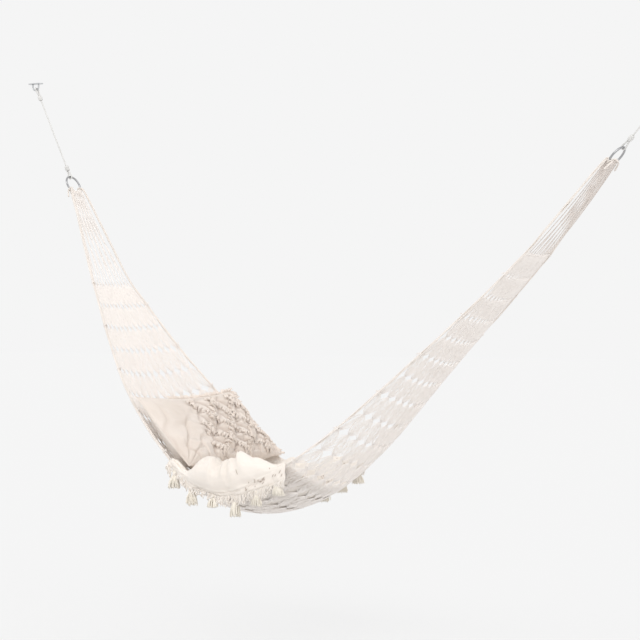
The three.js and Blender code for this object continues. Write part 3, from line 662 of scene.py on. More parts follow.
def make_studio():
    """A pale floor that keeps a soft shadow, an even white room, two wide soft lamps, one from above and one
    low down from the foot side, and the standard colour view."""
    world = bpy.data.worlds.new("room")
    bpy.context.scene.world = world
    world.use_nodes = True
    tree = world.node_tree
    tree.nodes.clear()
    pale = (BACKDROP, BACKDROP, BACKDROP, 1)
    room = add(tree, "ShaderNodeBackground", {"Color": (1.0, 1.0, 1.0, 1), "Strength": ROOM_LIGHT})
    backdrop = add(tree, "ShaderNodeBackground", {"Color": pale, "Strength": 1.0})
    share = seen_directly(tree)
    mix = add(tree, "ShaderNodeMixShader", {0: share, 1: room.outputs[0], 2: backdrop.outputs[0]})
    add(tree, "ShaderNodeOutputWorld", {"Surface": mix.outputs[0]})
    size = FLOOR_HALF_SIZE
    level = ORIGIN[2] - FLOOR_BELOW_SEAT
    corners = [(-size, -size, level), (size, -size, level), (size, size, level), (-size, size, level)]
    mesh = bpy.data.meshes.new("floor")
    mesh.from_pydata(corners, [], [(0, 1, 2, 3)])
    floor = bpy.data.objects.new("floor", mesh)
    bpy.context.scene.collection.objects.link(floor)
    made, tree = new_material("pale_floor")
    glow = add(tree, "ShaderNodeEmission", {"Color": pale, "Strength": 1.0})
    matt = add(tree, "ShaderNodeBsdfDiffuse", {"Color": (0.80, 0.80, 0.80, 1)})
    share = sum_of(tree, "MULTIPLY", seen_directly(tree), 1 - FLOOR_SHADOW)
    both = add(tree, "ShaderNodeMixShader", {0: share, 1: matt.outputs[0], 2: glow.outputs[0]})
    add(tree, "ShaderNodeOutputMaterial", {"Surface": both.outputs[0]})
    mesh.materials.append(made)
    for name, strength, tilt, turn, angle in LAMPS:
        data = bpy.data.lights.new(name, "SUN")
        data.energy = strength
        data.angle = np.radians(angle)
        lamp = bpy.data.objects.new(name, data)
        lamp.rotation_euler = (np.radians(tilt), 0, np.radians(turn))
        bpy.context.scene.collection.objects.link(lamp)
    bpy.context.scene.view_settings.view_transform = "Standard"


make_camera()
make_studio()


# Rings, ropes, loops and knots

class Ring:
    """One end's steel ring, with the directions to its clew and up from it, and where its rope hooks."""

    def __init__(self, side, centre, towards, hook, row):
        self.side, self.row = side, row
        self.middle = spot(*centre)
        self.clew = unit(spot(*towards) - self.middle)
        self.up = np.cross(self.clew, ACROSS)
        self.up = self.up * np.sign(self.up[2])
        self.radius = (RING_DIAMETER - RING_WIRE) / 2
        straight_on = self.middle - self.clew * (self.radius + FOOT_ROPE_RUN)
        self.hook = straight_on if hook is None else spot(*hook)
        self.rope = unit(self.hook - self.middle)
        self.top = self.middle + self.rope * self.radius

    def wire(self, degrees):
        """Points of the wire's middle, by the angle from the clew's direction."""
        turn = np.radians(np.asarray(degrees, float))[..., None]
        return self.middle + self.radius * (np.cos(turn) * self.clew + np.sin(turn) * ACROSS)

    def hitch(self, degrees, cord_radius, steps=12):
        """The bend of a cord round the whipped wire, from above the ring through its eye to below it."""
        centre = self.wire(degrees)
        inward = unit(self.middle - centre)
        reach = RING_WIRE / 2 + WHIPPING_CORD + 2 * SEAT_GAP + cord_radius
        turn = np.linspace(0, np.pi, steps)[:, None]
        return centre + reach * (np.cos(turn) * self.up + np.sin(turn) * inward)


RINGS = [Ring("head", HEAD_RING, BED_STATIONS[0, :2], HEAD_HOOK, 0),
         Ring("foot", FOOT_RING, BED_STATIONS[-1, :2], None, NET_ROWS - 1)]


def make_ring(ring):
    """A torus of wire, as a tube whose last circle of points is the first one again, and the cord wound side
    by side round its lower arc."""
    circles, sides = 96, 20
    count = circles * sides
    path = ring.wire(np.linspace(0, 360, circles + 1))
    points, quads, uv, tint = tubes(path, RING_WIRE / 2, sides, ring.up)
    torus = points[:count], quads[:count] % count, uv[:count], tint[:count]
    piece(f"{ring.side}_steel_ring", torus, RING_STEEL, "hammock", [f"{ring.side}_ring"])
    arc = np.radians(2 * WHIPPING_HALF_ARC) * ring.radius
    turns = int(arc / WHIPPING_CORD)
    steps = np.linspace(0, 1, turns * 14 + 1)
    centre = ring.wire(WHIPPING_HALF_ARC * (2 * steps - 1))
    outward = unit(centre - ring.middle)
    angle = (2 * np.pi * turns * steps)[:, None]
    reach = (RING_WIRE + WHIPPING_CORD) / 2
    wound = centre + reach * (np.cos(angle) * outward + np.sin(angle) * ring.up)
    cord = tubes(wound, WHIPPING_CORD / 2, 6, ring.clew)
    piece(f"{ring.side}_whipping", cord, EDGE_COTTON, "hammock",
          [f"{ring.side}_ring_whipping"])


def seized_knot(name, middle, axis, node):
    """A barrel of rope turns round the rope's axis: a helix, drawn in at both ends."""
    turns, cord = 5, BARREL_LENGTH / 5.6
    reach = ROPE + SEAT_GAP + BARREL_WALL - cord / 2
    steps = np.linspace(0, 1, turns * 16 + 1)
    side = unit(np.cross(axis, [0.3, 0.9, 0.2]))
    other = np.cross(axis, side)
    angle = (2 * np.pi * turns * steps)[:, None]
    narrow = (1 - 0.45 * np.abs(2 * steps - 1) ** 6)[:, None]
    run = ((steps - 0.5) * (BARREL_LENGTH - cord))[:, None]
    wound = middle + run * axis + reach * narrow * (np.cos(angle) * side + np.sin(angle) * other)
    core = middle + np.linspace(-0.46, 0.46, 9)[:, None] * BARREL_LENGTH * axis
    parts = [tubes(wound, cord / 2, 8, axis), tubes(core, reach * 0.82, 12, side)]
    return piece(name, parts, HANG_ROPE, "hammock", [node])


def rope_loop(name, wire, sideways, towards, wire_radius, node):
    """A loop of laid rope over a wire: half a turn round it, and two legs that meet in the knot."""
    turn = np.linspace(0, np.pi, 15)[:, None]
    bend = wire + wire_radius * (np.cos(turn) * sideways - np.sin(turn) * towards)
    legs = [wire + towards * run + side * sideways * (ROPE / 2 + SEAT_GAP)
            for side in (1, -1) for run in (LOOP_LENGTH, LOOP_LENGTH - 0.004)]
    path = smooth([legs[0], legs[1], *bend[1:-1:2], legs[3], legs[2]], 0.0008)
    parts = tubes(laid(path, 3, ROPE * STRAND_SHARE, ROPE_LAY), ROPE * STRAND_SHARE, 6, sideways)
    return piece(name, parts, HANG_ROPE, "hammock", [node])


def make_rope(ring):
    """The taut rope between ring and plate, three strands, with a seized knot and a loop at each end."""
    side, rope = ring.side, ring.rope
    from_knot = LOOP_LENGTH + SEAT_GAP + BARREL_LENGTH / 2
    upper, lower = ring.hook - rope * from_knot, ring.top + rope * from_knot
    upward = unit(ring.up - rope * dot(ring.up, rope))
    pieces = [
        rope_loop(f"{side}_upper_loop", ring.hook, ACROSS, -rope, EYE_WIRE_RADIUS + ROPE / 2 + SWING_GAP,
                  f"{side}_rope_loop"),
        rope_loop(f"{side}_lower_loop", ring.top, upward, rope, (RING_WIRE + ROPE) / 2 + SEAT_GAP,
                  f"{side}_ring_loop"),
        seized_knot(f"{side}_upper_knot", upper, rope, f"{side}_rope_knot"),
        seized_knot(f"{side}_lower_knot", lower, rope, f"{side}_ring_knot")]
    clear = BARREL_LENGTH / 2 + SEAT_GAP
    ends = lower + rope * clear, upper - rope * clear
    path = spaced(np.array(ends), 0.004)
    strands = tubes(laid(path, 3, ROPE * STRAND_SHARE, ROPE_LAY), ROPE * STRAND_SHARE, 8)
    made = piece(f"{side}_rope", strands, HANG_ROPE, "hammock", [f"{side}_hang_rope"])


def make_plate(ring):
    """A plate with two half-round ends and two screw holes, and the wire eye welded under it: half a circle
    with two short legs."""
    length, width, spacing, hole, bevel = 0.064, 0.024, 0.046, 0.0025, 0.0004
    eye = ring.hook + ring.rope * EYE_RADIUS
    turn = np.linspace(-np.pi / 2, np.pi / 2, 17)
    reach = width / 2 - bevel
    cap = np.stack([np.cos(turn), np.sin(turn)], -1) * reach
    outline = np.concatenate([cap + ((length - width) / 2, 0), -cap - ((length - width) / 2, 0)])
    round_hole = np.linspace(0, 2 * np.pi, 25)[:-1]
    hoops = [np.stack([np.cos(round_hole), np.sin(round_hole)], -1) * (hole + bevel) + (s * spacing / 2, 0)
             for s in (-1, 1)]
    curve = bpy.data.curves.new("outline", "CURVE")
    curve.dimensions, curve.fill_mode = "2D", "BOTH"
    curve.extrude, curve.bevel_depth, curve.bevel_resolution = PLATE_THICKNESS / 2 - bevel, bevel, 2
    for loop in (outline, *hoops):
        line = curve.splines.new("POLY")
        line.points.add(len(loop) - 1)
        height_weight = np.tile([0.0, 1.0], (len(loop), 1))
        line.points.foreach_set("co", np.concatenate([loop, height_weight], 1).ravel())
        line.use_cyclic_u = True
    flat = bpy.data.objects.new("outline", curve)
    mesh = bpy.data.meshes.new_from_object(flat)
    mesh.name = f"{ring.side}_beam_plate"
    bpy.data.objects.remove(flat)
    mesh.transform(Matrix.Translation(Vector(eye + (0, 0, EYE_LEG + PLATE_THICKNESS / 2))))
    mesh.materials.clear()
    mesh.materials.append(PLATE_STEEL)
    made = bpy.data.objects.new(f"{ring.side}_beam_plate", mesh)
    bpy.context.scene.collection.objects.link(made)
    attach(made, "beam_plates")
    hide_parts(f"{ring.side}_eye_plate")
    half = np.linspace(np.pi, 2 * np.pi, 25)[:, None]
    hoop = eye + EYE_RADIUS * (np.cos(half) * (1, 0, 0) + np.sin(half) * (0, 0, 1))
    legs = [eye + (s * EYE_RADIUS, 0, EYE_LEG + 0.001) for s in (-1, 1)]
    wire = np.concatenate([[legs[0]], hoop, [legs[1]]])
    shape = tubes(spaced(wire, 0.002), EYE_WIRE_RADIUS, 16, ACROSS)
    piece(f"{ring.side}_plate_eye", shape, PLATE_STEEL, "beam_plates")


# Net, clews and edge cords

def knot_share(row, column):
    """Odd rows are set over by half a mesh."""
    return -1 + HALF_MESH * (2 * column + row % 2)


def make_net():
    """Eight strings along each side of a mesh, which follow the bed's curve. They leave the knots close
    together and spread half-way, the outer two by nearly half a mesh, each with its own slack. The knots are
    overhand knots: the curve (sin t + 2 sin 2t, cos t - 2 cos 2t, -sin 3t), flattened."""
    rows, columns = np.meshgrid(np.arange(NET_ROWS), np.arange(KNOTS_PER_ROW), indexing="ij")
    point, along, across, out = bed_frame(rows * ROW_PITCH, knot_share(rows, columns))
    legs = []
    for lean in (-1, 0):
        other = columns[:-1] + lean + rows[:-1] % 2
        real = (other >= 0) & (other < KNOTS_PER_ROW)
        legs.append(np.stack([rows[:-1][real], columns[:-1][real], other[real]], -1))
    row, first, last = np.concatenate(legs).T
    start, end, normal = point[row, first], point[row + 1, last], out[row, first]
    room = bed_width((row + 0.5) * ROW_PITCH) * HALF_MESH / 2
    beside = np.cross(normal, unit(end - start))
    s = np.linspace(0, 1, 8)
    shares = knot_share(row, first)[:, None] * (1 - s) + knot_share(row + 1, last)[:, None] * s
    straight = start[:, None] + (end - start)[:, None] * s[:, None]
    middle = straight + NET_FOLLOW * (bed_point((row[:, None] + s) * ROW_PITCH, shares) - straight)
    bow = (np.sin(np.pi * s) ** 0.6)[:, None]
    for i, (name, place) in enumerate(NET_PAIRS):
        paths = []
        for side in (-1, 1):
            spread = (side * place * room * rng.uniform(0.72, 1.25, len(row)))[:, None, None]
            close = side * NET_PAIR * (0.5 + 0.4 * i)
            drop = rng.uniform(0.0, 1.0, (len(row), 1, 1)) * NET_SLACK
            aside = beside[:, None] * (close + (spread - close) * bow)
            paths.append(middle + aside - normal[:, None] * drop * bow)
        strings = tubes(np.concatenate(paths), NET_STRING / 2, 6)
        piece(f"net_{name}_strings", strings, NET_COTTON, "hammock",
              ["net_bed"] if i == 0 else [])
    t = np.linspace(0, 2 * np.pi, 31)
    length, width, thickness = (np.array(KNOT_SIZE) - KNOT_STRING) / 2
    form = np.stack([(np.sin(t) + 2 * np.sin(2 * t)) / 2.6 * length,
                     (np.cos(t) - 2 * np.cos(2 * t)) / 3 * width, -np.sin(3 * t) * thickness], -1)
    count = point.size // 3
    flip = rng.choice([-1.0, 1.0], (count, 1, 3))
    size = rng.uniform(0.9, 1.1, (count, 1, 1))
    shape = form * flip * size
    basis = np.stack([x.reshape(-1, 3) for x in (along, across, out)], 1)
    ties = point.reshape(-1, 1, 3) + shape @ basis
    shape = tubes(ties, KNOT_STRING / 2, 6, (0.3, 0.5, 0.8))
    piece("net_knots", shape, NET_COTTON, "hammock")


def clew_leg(start, ring, column):
    """The path from the ring down to the tip of a knot in the net's end row, with a parabola of sag."""
    point, along, _, _ = bed_frame(ring.row * ROW_PITCH, knot_share(ring.row, column))
    outward = -1 if ring.row == 0 else 1
    tip = point + outward * along * KNOT_SIZE[0] * 0.45
    s = np.linspace(0, 1, 20)[:, None]
    return start + (tip - start) * s + DOWN * CLEW_SAG * s * (1 - s)


def make_clew(ring):
    """Six doubled cords hitched over the whipped wire. Each pair lies side by side at the ring and comes
    together at the knots, and between them each cord hangs loose by half a sine."""
    pairs = KNOTS_PER_ROW // 2
    for pair in range(pairs):
        degrees = CLEW_HALF_ARC * (2 * pair / (pairs - 1) - 1)
        bend = ring.hitch(degrees, CLEW_CORD / 2)
        upper = clew_leg(bend[0], ring, 2 * pair)[::-1]
        lower = clew_leg(bend[-1], ring, 2 * pair + 1)
        path = spaced(np.concatenate([upper[:-1], bend, lower[1:]]), 0.006)
        tangent = unit(ring.wire(degrees + 1) - ring.wire(degrees - 1))
        run = run_of(path)
        near = np.exp(-((run - run[-1] / 2) / 0.16) ** 2)[:, None]
        cords = []
        for side in (-1, 1):
            free = (np.sin(np.pi * run / run[-1]) * (1 - near[:, 0]))[:, None]
            loose = rng.uniform(0.2, 1.0) * CLEW_LOOSE * free
            cord = path + side * tangent * (CLEW_APART[0] + CLEW_APART[1] * near)
            cords.append(cord + DOWN * loose + side * ACROSS * loose * 0.4)
        name = f"{ring.side}_clew_strings_{pair + 1}"
        node = f"{ring.side}_clew_cord_{pair + 1}"
        shape = tubes(np.stack(cords), CLEW_CORD * 0.36, 6, ACROSS)
        # Painted shade: the foot clew gets the darker copy of the net's cotton.
        material = SHADED_CLEW_COTTON if ring.side == "foot" else NET_COTTON
        piece(name, shape, material, "hammock", [node])


def edge_path(side):
    """The edge cord's middle: hitched round one ring, beside the net's knots, and round the other ring."""
    parts = []
    for ring in RINGS:
        degrees = side * EDGE_HITCH_ARC
        bend = ring.hitch(degrees, EDGE_CORD / 2, 9)
        away = unit(ring.wire(degrees / 2) - ring.middle)
        parts.append(np.concatenate([bend, [bend[-1] + away * EDGE_TAIL]]))
    point, _, across, _ = bed_frame(np.linspace(0, BED_LENGTH, 2 * NET_ROWS - 1), side)
    return np.concatenate([parts[0][::-1], point + side * across * CORD_BESIDE, parts[1]])


def make_edge(name, side):
    """A rope of three strands, with three thinner strings that wind slowly along it at their own pitches."""
    path = smooth(edge_path(side), 0.003)
    radius = EDGE_CORD * STRAND_SHARE
    rope = tubes(laid(path, 3, radius, EDGE_LAY), radius, 6)
    run = run_of(path)
    strings = []
    for i, (pitch, phase) in enumerate(EDGE_WINDS):
        angle = 2 * np.pi * run / pitch + phase
        away = 0.0052 + 0.0018 * wander(run / 0.11, run * 0 + i, 11 + i)
        aside = side * (0.002 + 0.0035 * np.abs(np.sin(angle)))
        lift = -away * np.abs(np.cos(angle)) * (1 if i else -0.4)
        wound = path + ACROSS * aside[:, None] + UP * lift[:, None]
        strings.append(spaced(wound, 0.006)[6:-6])
    shape = [rope] + [tubes(s, EDGE_STRING / 2, 6) for s in strings]
    node = f"{name}_edge_cord"
    return piece(f"{name}_edge_rope", shape, EDGE_COTTON, "hammock", [node])


def make_edge_ties(name, side):
    """Where each second row is tied to the edge: two turns of string round the rope, and a short tail."""
    rows = np.arange(0 if side < 0 else 1, NET_ROWS, 2)
    point, along, across, out = bed_frame(rows * ROW_PITCH, side)
    middle = point + side * across * CORD_BESIDE
    t = np.linspace(0, 2.2, 28)[None, :, None]
    reach = EDGE_CORD / 2 + 0.0034
    angle = 2 * np.pi * t
    wound = middle[:, None] + (t - 1.1) * 0.0032 * along[:, None]
    wound = wound + reach * (np.cos(angle) * -side * across[:, None] + np.sin(angle) * out[:, None])
    s = np.linspace(0, 1, 7)[None, :, None]
    length = rng.uniform(0.010, 0.020, (len(rows), 1, 1))
    lean = rng.uniform(-0.8, 0.8, (len(rows), 1, 1))
    away = side * across[:, None] * 0.5 + lean * along[:, None]
    tail = middle[:, None] + reach * out[:, None] + s * length * away
    tail = tail + out[:, None] * length * 0.5 * (s - s * s)
    shape = [tubes(wound, 0.0012, 6, (0.2, 0.9, 0.3)), tubes(tail, 0.0012, 6, (0.2, 0.9, 0.3))]
    piece(f"{name}_edge_ties", shape, NET_COTTON, "hammock")


# Quilt

def quilt_distance(u):
    """The distance down the bed at a share u of the quilt's half length."""
    return QUILT_START + QUILT_LENGTH * (u + 1) / 2


def quilt_span(distance):
    """The solid quilt's width, as a share of the bed's."""
    return 1 - 2 * QUILT_SIDE_MARGIN / bed_width(distance)


def quilt_thickness(u, v):
    """The model's thickness of the quilt: that of its rim, and a filling that rounds off as the root of
    (1 - u^6)(1 - v^6), with a cosine for the folds across the bed."""
    fullness = np.sqrt(np.clip((1 - u**6) * (1 - v**6), 0, 1))
    fold = QUILT_FOLD * np.cos(np.pi * QUILT_FOLDS * (u + 0.12 * np.sin(3 * v)))
    return QUILT_RIM + (QUILT_THICKNESS - QUILT_RIM + fold) * fullness


def flap_drop(distance):
    """How far the quilt's hems hang below the edge cords: a smooth step down towards the foot."""
    return FLAP_DROP[0] + (FLAP_DROP[1] - FLAP_DROP[0]) * ease((distance - QUILT_START - 0.22) / 0.25)


def beside_bed(distance, side):
    """The edge cord's middle, the directions outward from the bed and up over the cord, and the angle from
    outward back to the bed's own upper side."""
    side = np.broadcast_to(np.asarray(side, float), np.shape(distance))
    edge, along, across, out = bed_frame(distance, side)
    cord = edge + side[..., None] * across * CORD_BESIDE
    outward = side[..., None] * ACROSS
    outward = unit(outward - along * dot(along, outward))
    up = side[..., None] * np.cross(along, outward)
    return cord, outward, up, np.arctan2(dot(out, up), dot(out, outward))


def quilt_surface(u, v, upper=True):
    """The quilt's skin, as a height out from what it lies on. Outward from the middle it lies on the bed,
    turns over the edge cord by a growing angle and hangs as a short flap, which sways by a sine in soft
    gathers. Smooth steps heap it up in the middle and in a ridge over each edge cord, higher on the near
    side. Its rims are round, and it has puffs and creases of noise where the pillow doesn't lie on it."""
    side = np.where(v < 0, -1.0, 1.0)
    reach = np.abs(v)
    hung = np.clip((reach - BED_PART - TURN_PART) / (1 - BED_PART - TURN_PART), 0, 1)
    slant = 0.008 * wander(hung * 2.2 + 3 * np.sign(u), side * 5 + 15, 28) * hung * np.abs(u) ** 3
    distance = quilt_distance(u) + slant
    share = side * np.clip(reach / (BED_PART - 0.01), 0, 1)
    left = ease((reach - BED_PART + 0.01) / 0.015)
    turned = np.clip((reach - BED_PART - 0.005) / (TURN_PART - 0.005), 0, 1)
    bed, _, _, bed_out = bed_frame(distance, share)
    cord, outward, up, lean = beside_bed(distance, side)
    angle = lean * (1 - turned)[..., None]
    turn_out = outward * np.cos(angle) + up * np.sin(angle)
    gather = np.sin(2 * np.pi * distance / GATHER_PITCH + 2.0 * wander(distance / 0.05, side * 3 + 9, 25))
    loose = 1 + wander(distance / 0.08, hung * 1.6 + 5, 26)
    sway = hung * (0.0012 + 0.0022 * (1 + gather) + 0.002 * loose)
    sag = hung * (flap_drop(distance) + 0.004 * wander(distance / 0.04, side * 4 + 11, 27))
    flap = cord + DOWN * sag[..., None] + outward * sway[..., None]
    foot = bed + (flap - bed) * left[..., None]
    out = unit(bed_out + (turn_out - bed_out) * left[..., None])
    low = net_crown(distance, share) * (1 - left) + (EDGE_CORD / 2 + CORD_CLEARANCE) * left
    flap_thick = FLAP_THICKNESS + (HEM_THICKNESS - FLAP_THICKNESS) * hung**2
    thick = quilt_thickness(u, 0.985 * share) * (1 - left) + flap_thick * left
    rim = np.sqrt(np.clip((1 - u**50) * (1 - reach**60), 0, 1))
    height = low + thick / 2 - thick / 2 * rim
    if upper:
        x, y = distance, v * QUILT_HALF_WIDTH + 0.12 * side * turned
        free = np.maximum(ease((distance - QUILT_START - QUILT_TUCK - 0.004) / 0.03), left) * rim
        open_part = ease((distance - QUILT_START - QUILT_TUCK) / 0.07) * (1 - ease((u - 0.42) / 0.58))
        ridge = np.where(v < 0, QUILT_RIDGES[0], QUILT_RIDGES[1]) * ease((reach - 0.42) / 0.36)
        ridge = ridge * (1 - 0.9 * ease((turned - 0.35) / 0.65)) * (1 - ease(hung / 0.3))
        middle = QUILT_HEAP * (1 - ease((reach - 0.35) / 0.35))
        bunch = np.sin(2 * np.pi * x / BUNCH_PITCH + 2.2 * wander(x / 0.06, y / 0.06, 37))
        heap = (ridge + middle) * open_part * (1 + 0.14 * wander(x / 0.05, y / 0.07, 24) + 0.07 * bunch)
        puff = QUILT_PUFFS[0] * wander(x / 0.045, y / 0.05, 21)
        puff = puff + QUILT_PUFFS[1] * wander(x / 0.018, y / 0.020, 22)
        crease = -QUILT_CREASE * np.sqrt(wander(x / 0.09 + y / 0.05, y / 0.13, 23) ** 2 + 0.02)
        height = low + thick / 2 + thick / 2 * rim + (puff + crease + 0.004) * free + heap
    return foot + out * height[..., None], out


def make_quilt():
    """The quilt's closed body, with more points at its rims and over the edge cords."""
    s = np.linspace(-1, 1, 171)
    flap = 1 - (1 - BED_PART - TURN_PART) * (1 - np.sin(np.linspace(0, 1, 30) * np.pi / 2))
    half = np.concatenate([np.linspace(0, BED_PART - 0.01, 56),
                           np.linspace(BED_PART - 0.005, BED_PART + 0.005, 4),
                           np.linspace(BED_PART + 0.01, BED_PART + TURN_PART, 24), flap[1:]])
    u, v = np.meshgrid(np.sin(s * np.pi / 2), np.concatenate([-half[:0:-1], half]), indexing="ij")
    upper, lower = quilt_surface(u, v)[0], quilt_surface(u, v, False)[0]
    across = run_of(lower[len(s) // 2])
    flat = np.stack([u * QUILT_LENGTH / 2, np.broadcast_to(across - across[-1] / 2, u.shape)], -1)
    skin = closed_skin(upper, lower, flat, 0 * u)
    made = piece("quilt_throw", skin, QUILT_CLOTH, "quilt", ["quilt"])
    return made


def strands_on(surface, u, v, du, dv, lift, steps=7):
    """Loose strands that lie on a surface: each starts at its place (u, v), runs along (du, dv), and arches
    by its lift over the surface."""
    s = np.linspace(0, 1, steps)
    point, out = surface(u[:, None] + du[:, None] * s, v[:, None] + dv[:, None] * s)[:2]
    rise = lift[:, None] * np.minimum(1, 0.3 + 2.5 * s) * (1 - 0.45 * s**2)
    return point + out * rise[..., None]


def make_quilt_tufts():
    """Short tufts of yarn in rows across the quilt's open part, and short dashes of darker yarn scattered
    on its foot half, kept short where the cloth turns over the edge cords. The dark dashes are painted
    shadows."""
    row = np.arange(TUFT_ROWS)
    place = -0.56 + 1.12 * np.arange(TUFTS_PER_ROW) / TUFTS_PER_ROW
    u, v = np.meshgrid(-0.52 + row * 0.19, place, indexing="ij")
    v = v + 0.05 * (row[:, None] % 2)
    roots = np.repeat(np.stack([u.ravel(), v.ravel()], -1), STRANDS_PER_TUFT, axis=0)
    u, v = (roots + rng.normal(0, 0.012, roots.shape)).T
    angle = rng.normal(0, 0.35, len(u))
    length = rng.uniform(0.010, 0.017, len(u))
    du = np.cos(angle) * length / (QUILT_LENGTH / 2)
    dv = np.sin(angle) * length / QUILT_HALF_WIDTH
    paths = strands_on(quilt_surface, u, v, du, dv, rng.uniform(0.002, 0.004, len(u)))
    thin = 0.0015 * np.array([0.75, 1, 1.1, 1.1, 1.0, 0.9, 0.6])
    piece("quilt_tufts", tubes(paths, thin, 6), QUILT_YARN, "quilt")
    count = SHADOW_DASHES
    side = rng.choice([-1.0, 1.0], count)
    u, v = rng.beta(2.2, 1.3, count) * 1.1 - 0.15, side * rng.uniform(0.35, 0.975, count)
    angle = rng.normal(0.9, 0.5, count) * -side
    length = rng.uniform(0.004, 0.010, count)
    du = np.clip(u + np.cos(angle) * length / (QUILT_LENGTH / 2), -0.97, 0.97) - u
    dv = np.clip(np.abs(v) + side * np.sin(angle) * length / 0.31, 0.34, 0.985) * side - v
    turning = (np.abs(v + dv) > BED_PART - 0.02) & (np.abs(v) < BED_PART + TURN_PART + 0.01)
    dv = np.where(turning, 0.12 * dv, dv)
    # Painted shadows: short dark dashes on the cloth.
    paths = strands_on(quilt_surface, u, v, du, dv, np.full(count, 0.0012))
    piece("quilt_shadow_dashes", tubes(paths, 0.8 * thin, 6), SHADOW_DASH_YARN, "quilt")


def make_hem_fringe(name, side):
    """Fringe of curled strands along one hem of the quilt and down its flap's head rim. Each hangs by its
    own length, drifts aside with the square of its run and winds in a small helix."""
    hem, head = HEM_STRANDS
    hem_u = np.linspace(-0.99, 0.99, hem) + rng.uniform(-0.006, 0.006, hem)
    u = np.concatenate([hem_u, np.full(head, -0.995)])
    v = side * np.concatenate([np.full(hem, 0.994), rng.uniform(0.86, 0.99, head)])
    root, out = quilt_surface(np.clip(u, -0.996, 0.996), v)
    inner_u = np.clip(u, -0.98, 0.98)
    along = unit(quilt_surface(inner_u + 0.01, v)[0] - quilt_surface(inner_u, v)[0])
    count = hem + head
    clump = 0.5 + 0.5 * wander(u * 6 + 9, v * 0 + side * 2 + 5, 29)
    hem_length = rng.uniform(0.014, 0.024, hem) + 0.020 * clump[:hem]
    length = np.concatenate([hem_length, rng.uniform(0.016, 0.034, head)])
    drift = np.concatenate([rng.normal(0, 0.007, hem), rng.uniform(-0.020, -0.004, head)])
    s = np.linspace(0, 1, 11)
    turn = 2 * np.pi * rng.uniform(0.6, 1.5, count)[:, None] * s + rng.uniform(0, 6.28, count)[:, None]
    curl = rng.uniform(0.001, 0.0034, count)[:, None] * np.minimum(3 * s, 1)
    paths = root[:, None] + DOWN * (length[:, None] * s)[..., None] - out[:, None] * 0.002
    swing = drift[:, None] * s**2 + curl * (np.cos(turn) - np.cos(turn[:, :1]))
    paths = paths + along[:, None] * swing[..., None]
    paths = paths + out[:, None] * (curl * (1 + np.sin(turn)) + 0.002 * s)[..., None]
    thin = np.interp(s, [0, 0.2, 0.8, 1], [0.0014, 0.0019, 0.0018, 0.0009])
    return piece(f"quilt_{name}_fringe", tubes(paths, thin, 6, AHEAD), QUILT_YARN, "quilt")


def make_tassel(name, distance, side, size, node):
    """A tassel under the quilt's hem: a neck of two laid strands, a head that swells by a sine, a binding of
    four turns, and a skirt of strands that spread as they hang, each with its own length and drift."""
    cord, outward, _, _ = beside_bed(distance, side)
    hem = flap_drop(distance)
    drop = (TASSEL_DROP - hem) * size * 0.92
    neck_end, middle_of_head, top_of_skirt, binding = (drop * part for part in TASSEL_PARTS)
    reach = EDGE_CORD / 2 + CORD_CLEARANCE + HEM_THICKNESS / 2 + 2 * TASSEL_NECK
    top = cord + outward * reach - UP * (hem - 0.002)
    neck = np.stack([top + UP * 0.006, top, top - UP * neck_end])
    parts = [tubes(laid(neck, 2, TASSEL_NECK, 0.012), TASSEL_NECK, 6, AHEAD)]
    t = np.linspace(0, 1, 22)
    head = top - UP * middle_of_head
    swell = 0.0024 + 0.0052 * np.sin(np.pi * np.clip(t * 0.95 + 0.03, 0, 1)) ** 0.6
    parts.append(tubes(head + UP * (0.5 - t)[:, None] * 0.015, swell, 12, AHEAD))
    turns = 4
    bind = np.linspace(0, 1, turns * 12 + 1)
    angle = 2 * np.pi * turns * bind[:, None]
    waist = top - UP * (binding + (bind[:, None] - 0.5) * 0.007)
    parts.append(tubes(waist + 0.0056 * (np.cos(angle) * outward + np.sin(angle) * AHEAD), 0.001, 6))
    count = TASSEL_STRANDS
    angle = rng.uniform(0, 2 * np.pi, count)
    radius = np.sqrt(rng.uniform(0.05, 1, count))
    spread = (np.cos(angle) * radius)[:, None] * AHEAD + (np.sin(angle) * radius)[:, None] * outward
    s = np.linspace(0, 1, 9)
    flare = np.interp(s, [0, 0.12, 0.5, 1], [0.0050, 0.0080, 0.0160, 0.0200])
    length = drop * rng.uniform(0.60, 0.76, count)
    curl = rng.normal(0, 0.003, (count, 2))
    skirt = top - UP * top_of_skirt
    paths = (skirt + outward * 0.001 + spread[:, None] * flare[:, None]
             - UP * (length[:, None] * s)[..., None]
             + (curl[:, :1] * s**2)[..., None] * AHEAD
             + (np.abs(curl[:, 1:]) * np.sin(2.5 * s))[..., None] * outward)
    thin = np.interp(s, [0, 0.15, 0.85, 1], [0.0013, 0.0018, 0.0018, 0.0009])
    parts.append(tubes(paths, thin, 6, AHEAD))
    return piece(name, parts, TASSEL_YARN, "quilt", [node])


# Pillow

def pillow_rest(distance, share):
    """What the pillow rests on, above the bed: the net, or the quilt where that is tucked under it."""
    u = np.clip(2 * (distance - QUILT_START) / QUILT_LENGTH - 1, -1, 1)
    v = np.clip(share / quilt_span(distance), -1, 1)
    on_quilt = ease((distance - QUILT_START + QUILT_SLOPE_LENGTH) / QUILT_SLOPE_LENGTH)
    return net_crown(distance, share) + on_quilt * (quilt_thickness(u, v) + QUILT_CLEARANCE)


def lattice(u, v):
    """The cover's diamond lattice: how far a place is from the nearest line, in metres, and where it fades
    out towards the plain near end."""
    x, y = u * PILLOW_LENGTH / 2, v * PILLOW_WIDTH / 2
    bend = 0.008 * wander(x / 0.05 + 3, y / 0.05, 31)
    lines = [np.abs(((y + bend) / LATTICE[1] + k * (x + bend) / LATTICE[0]) % 1 - 0.5) for k in (-1, 1)]
    away = (0.5 - np.maximum(*lines)) * 0.1
    fade = ease((v + 0.40 + 0.12 * u) / 0.16) * ease((0.95 - np.abs(u)) / 0.08)
    return away, fade


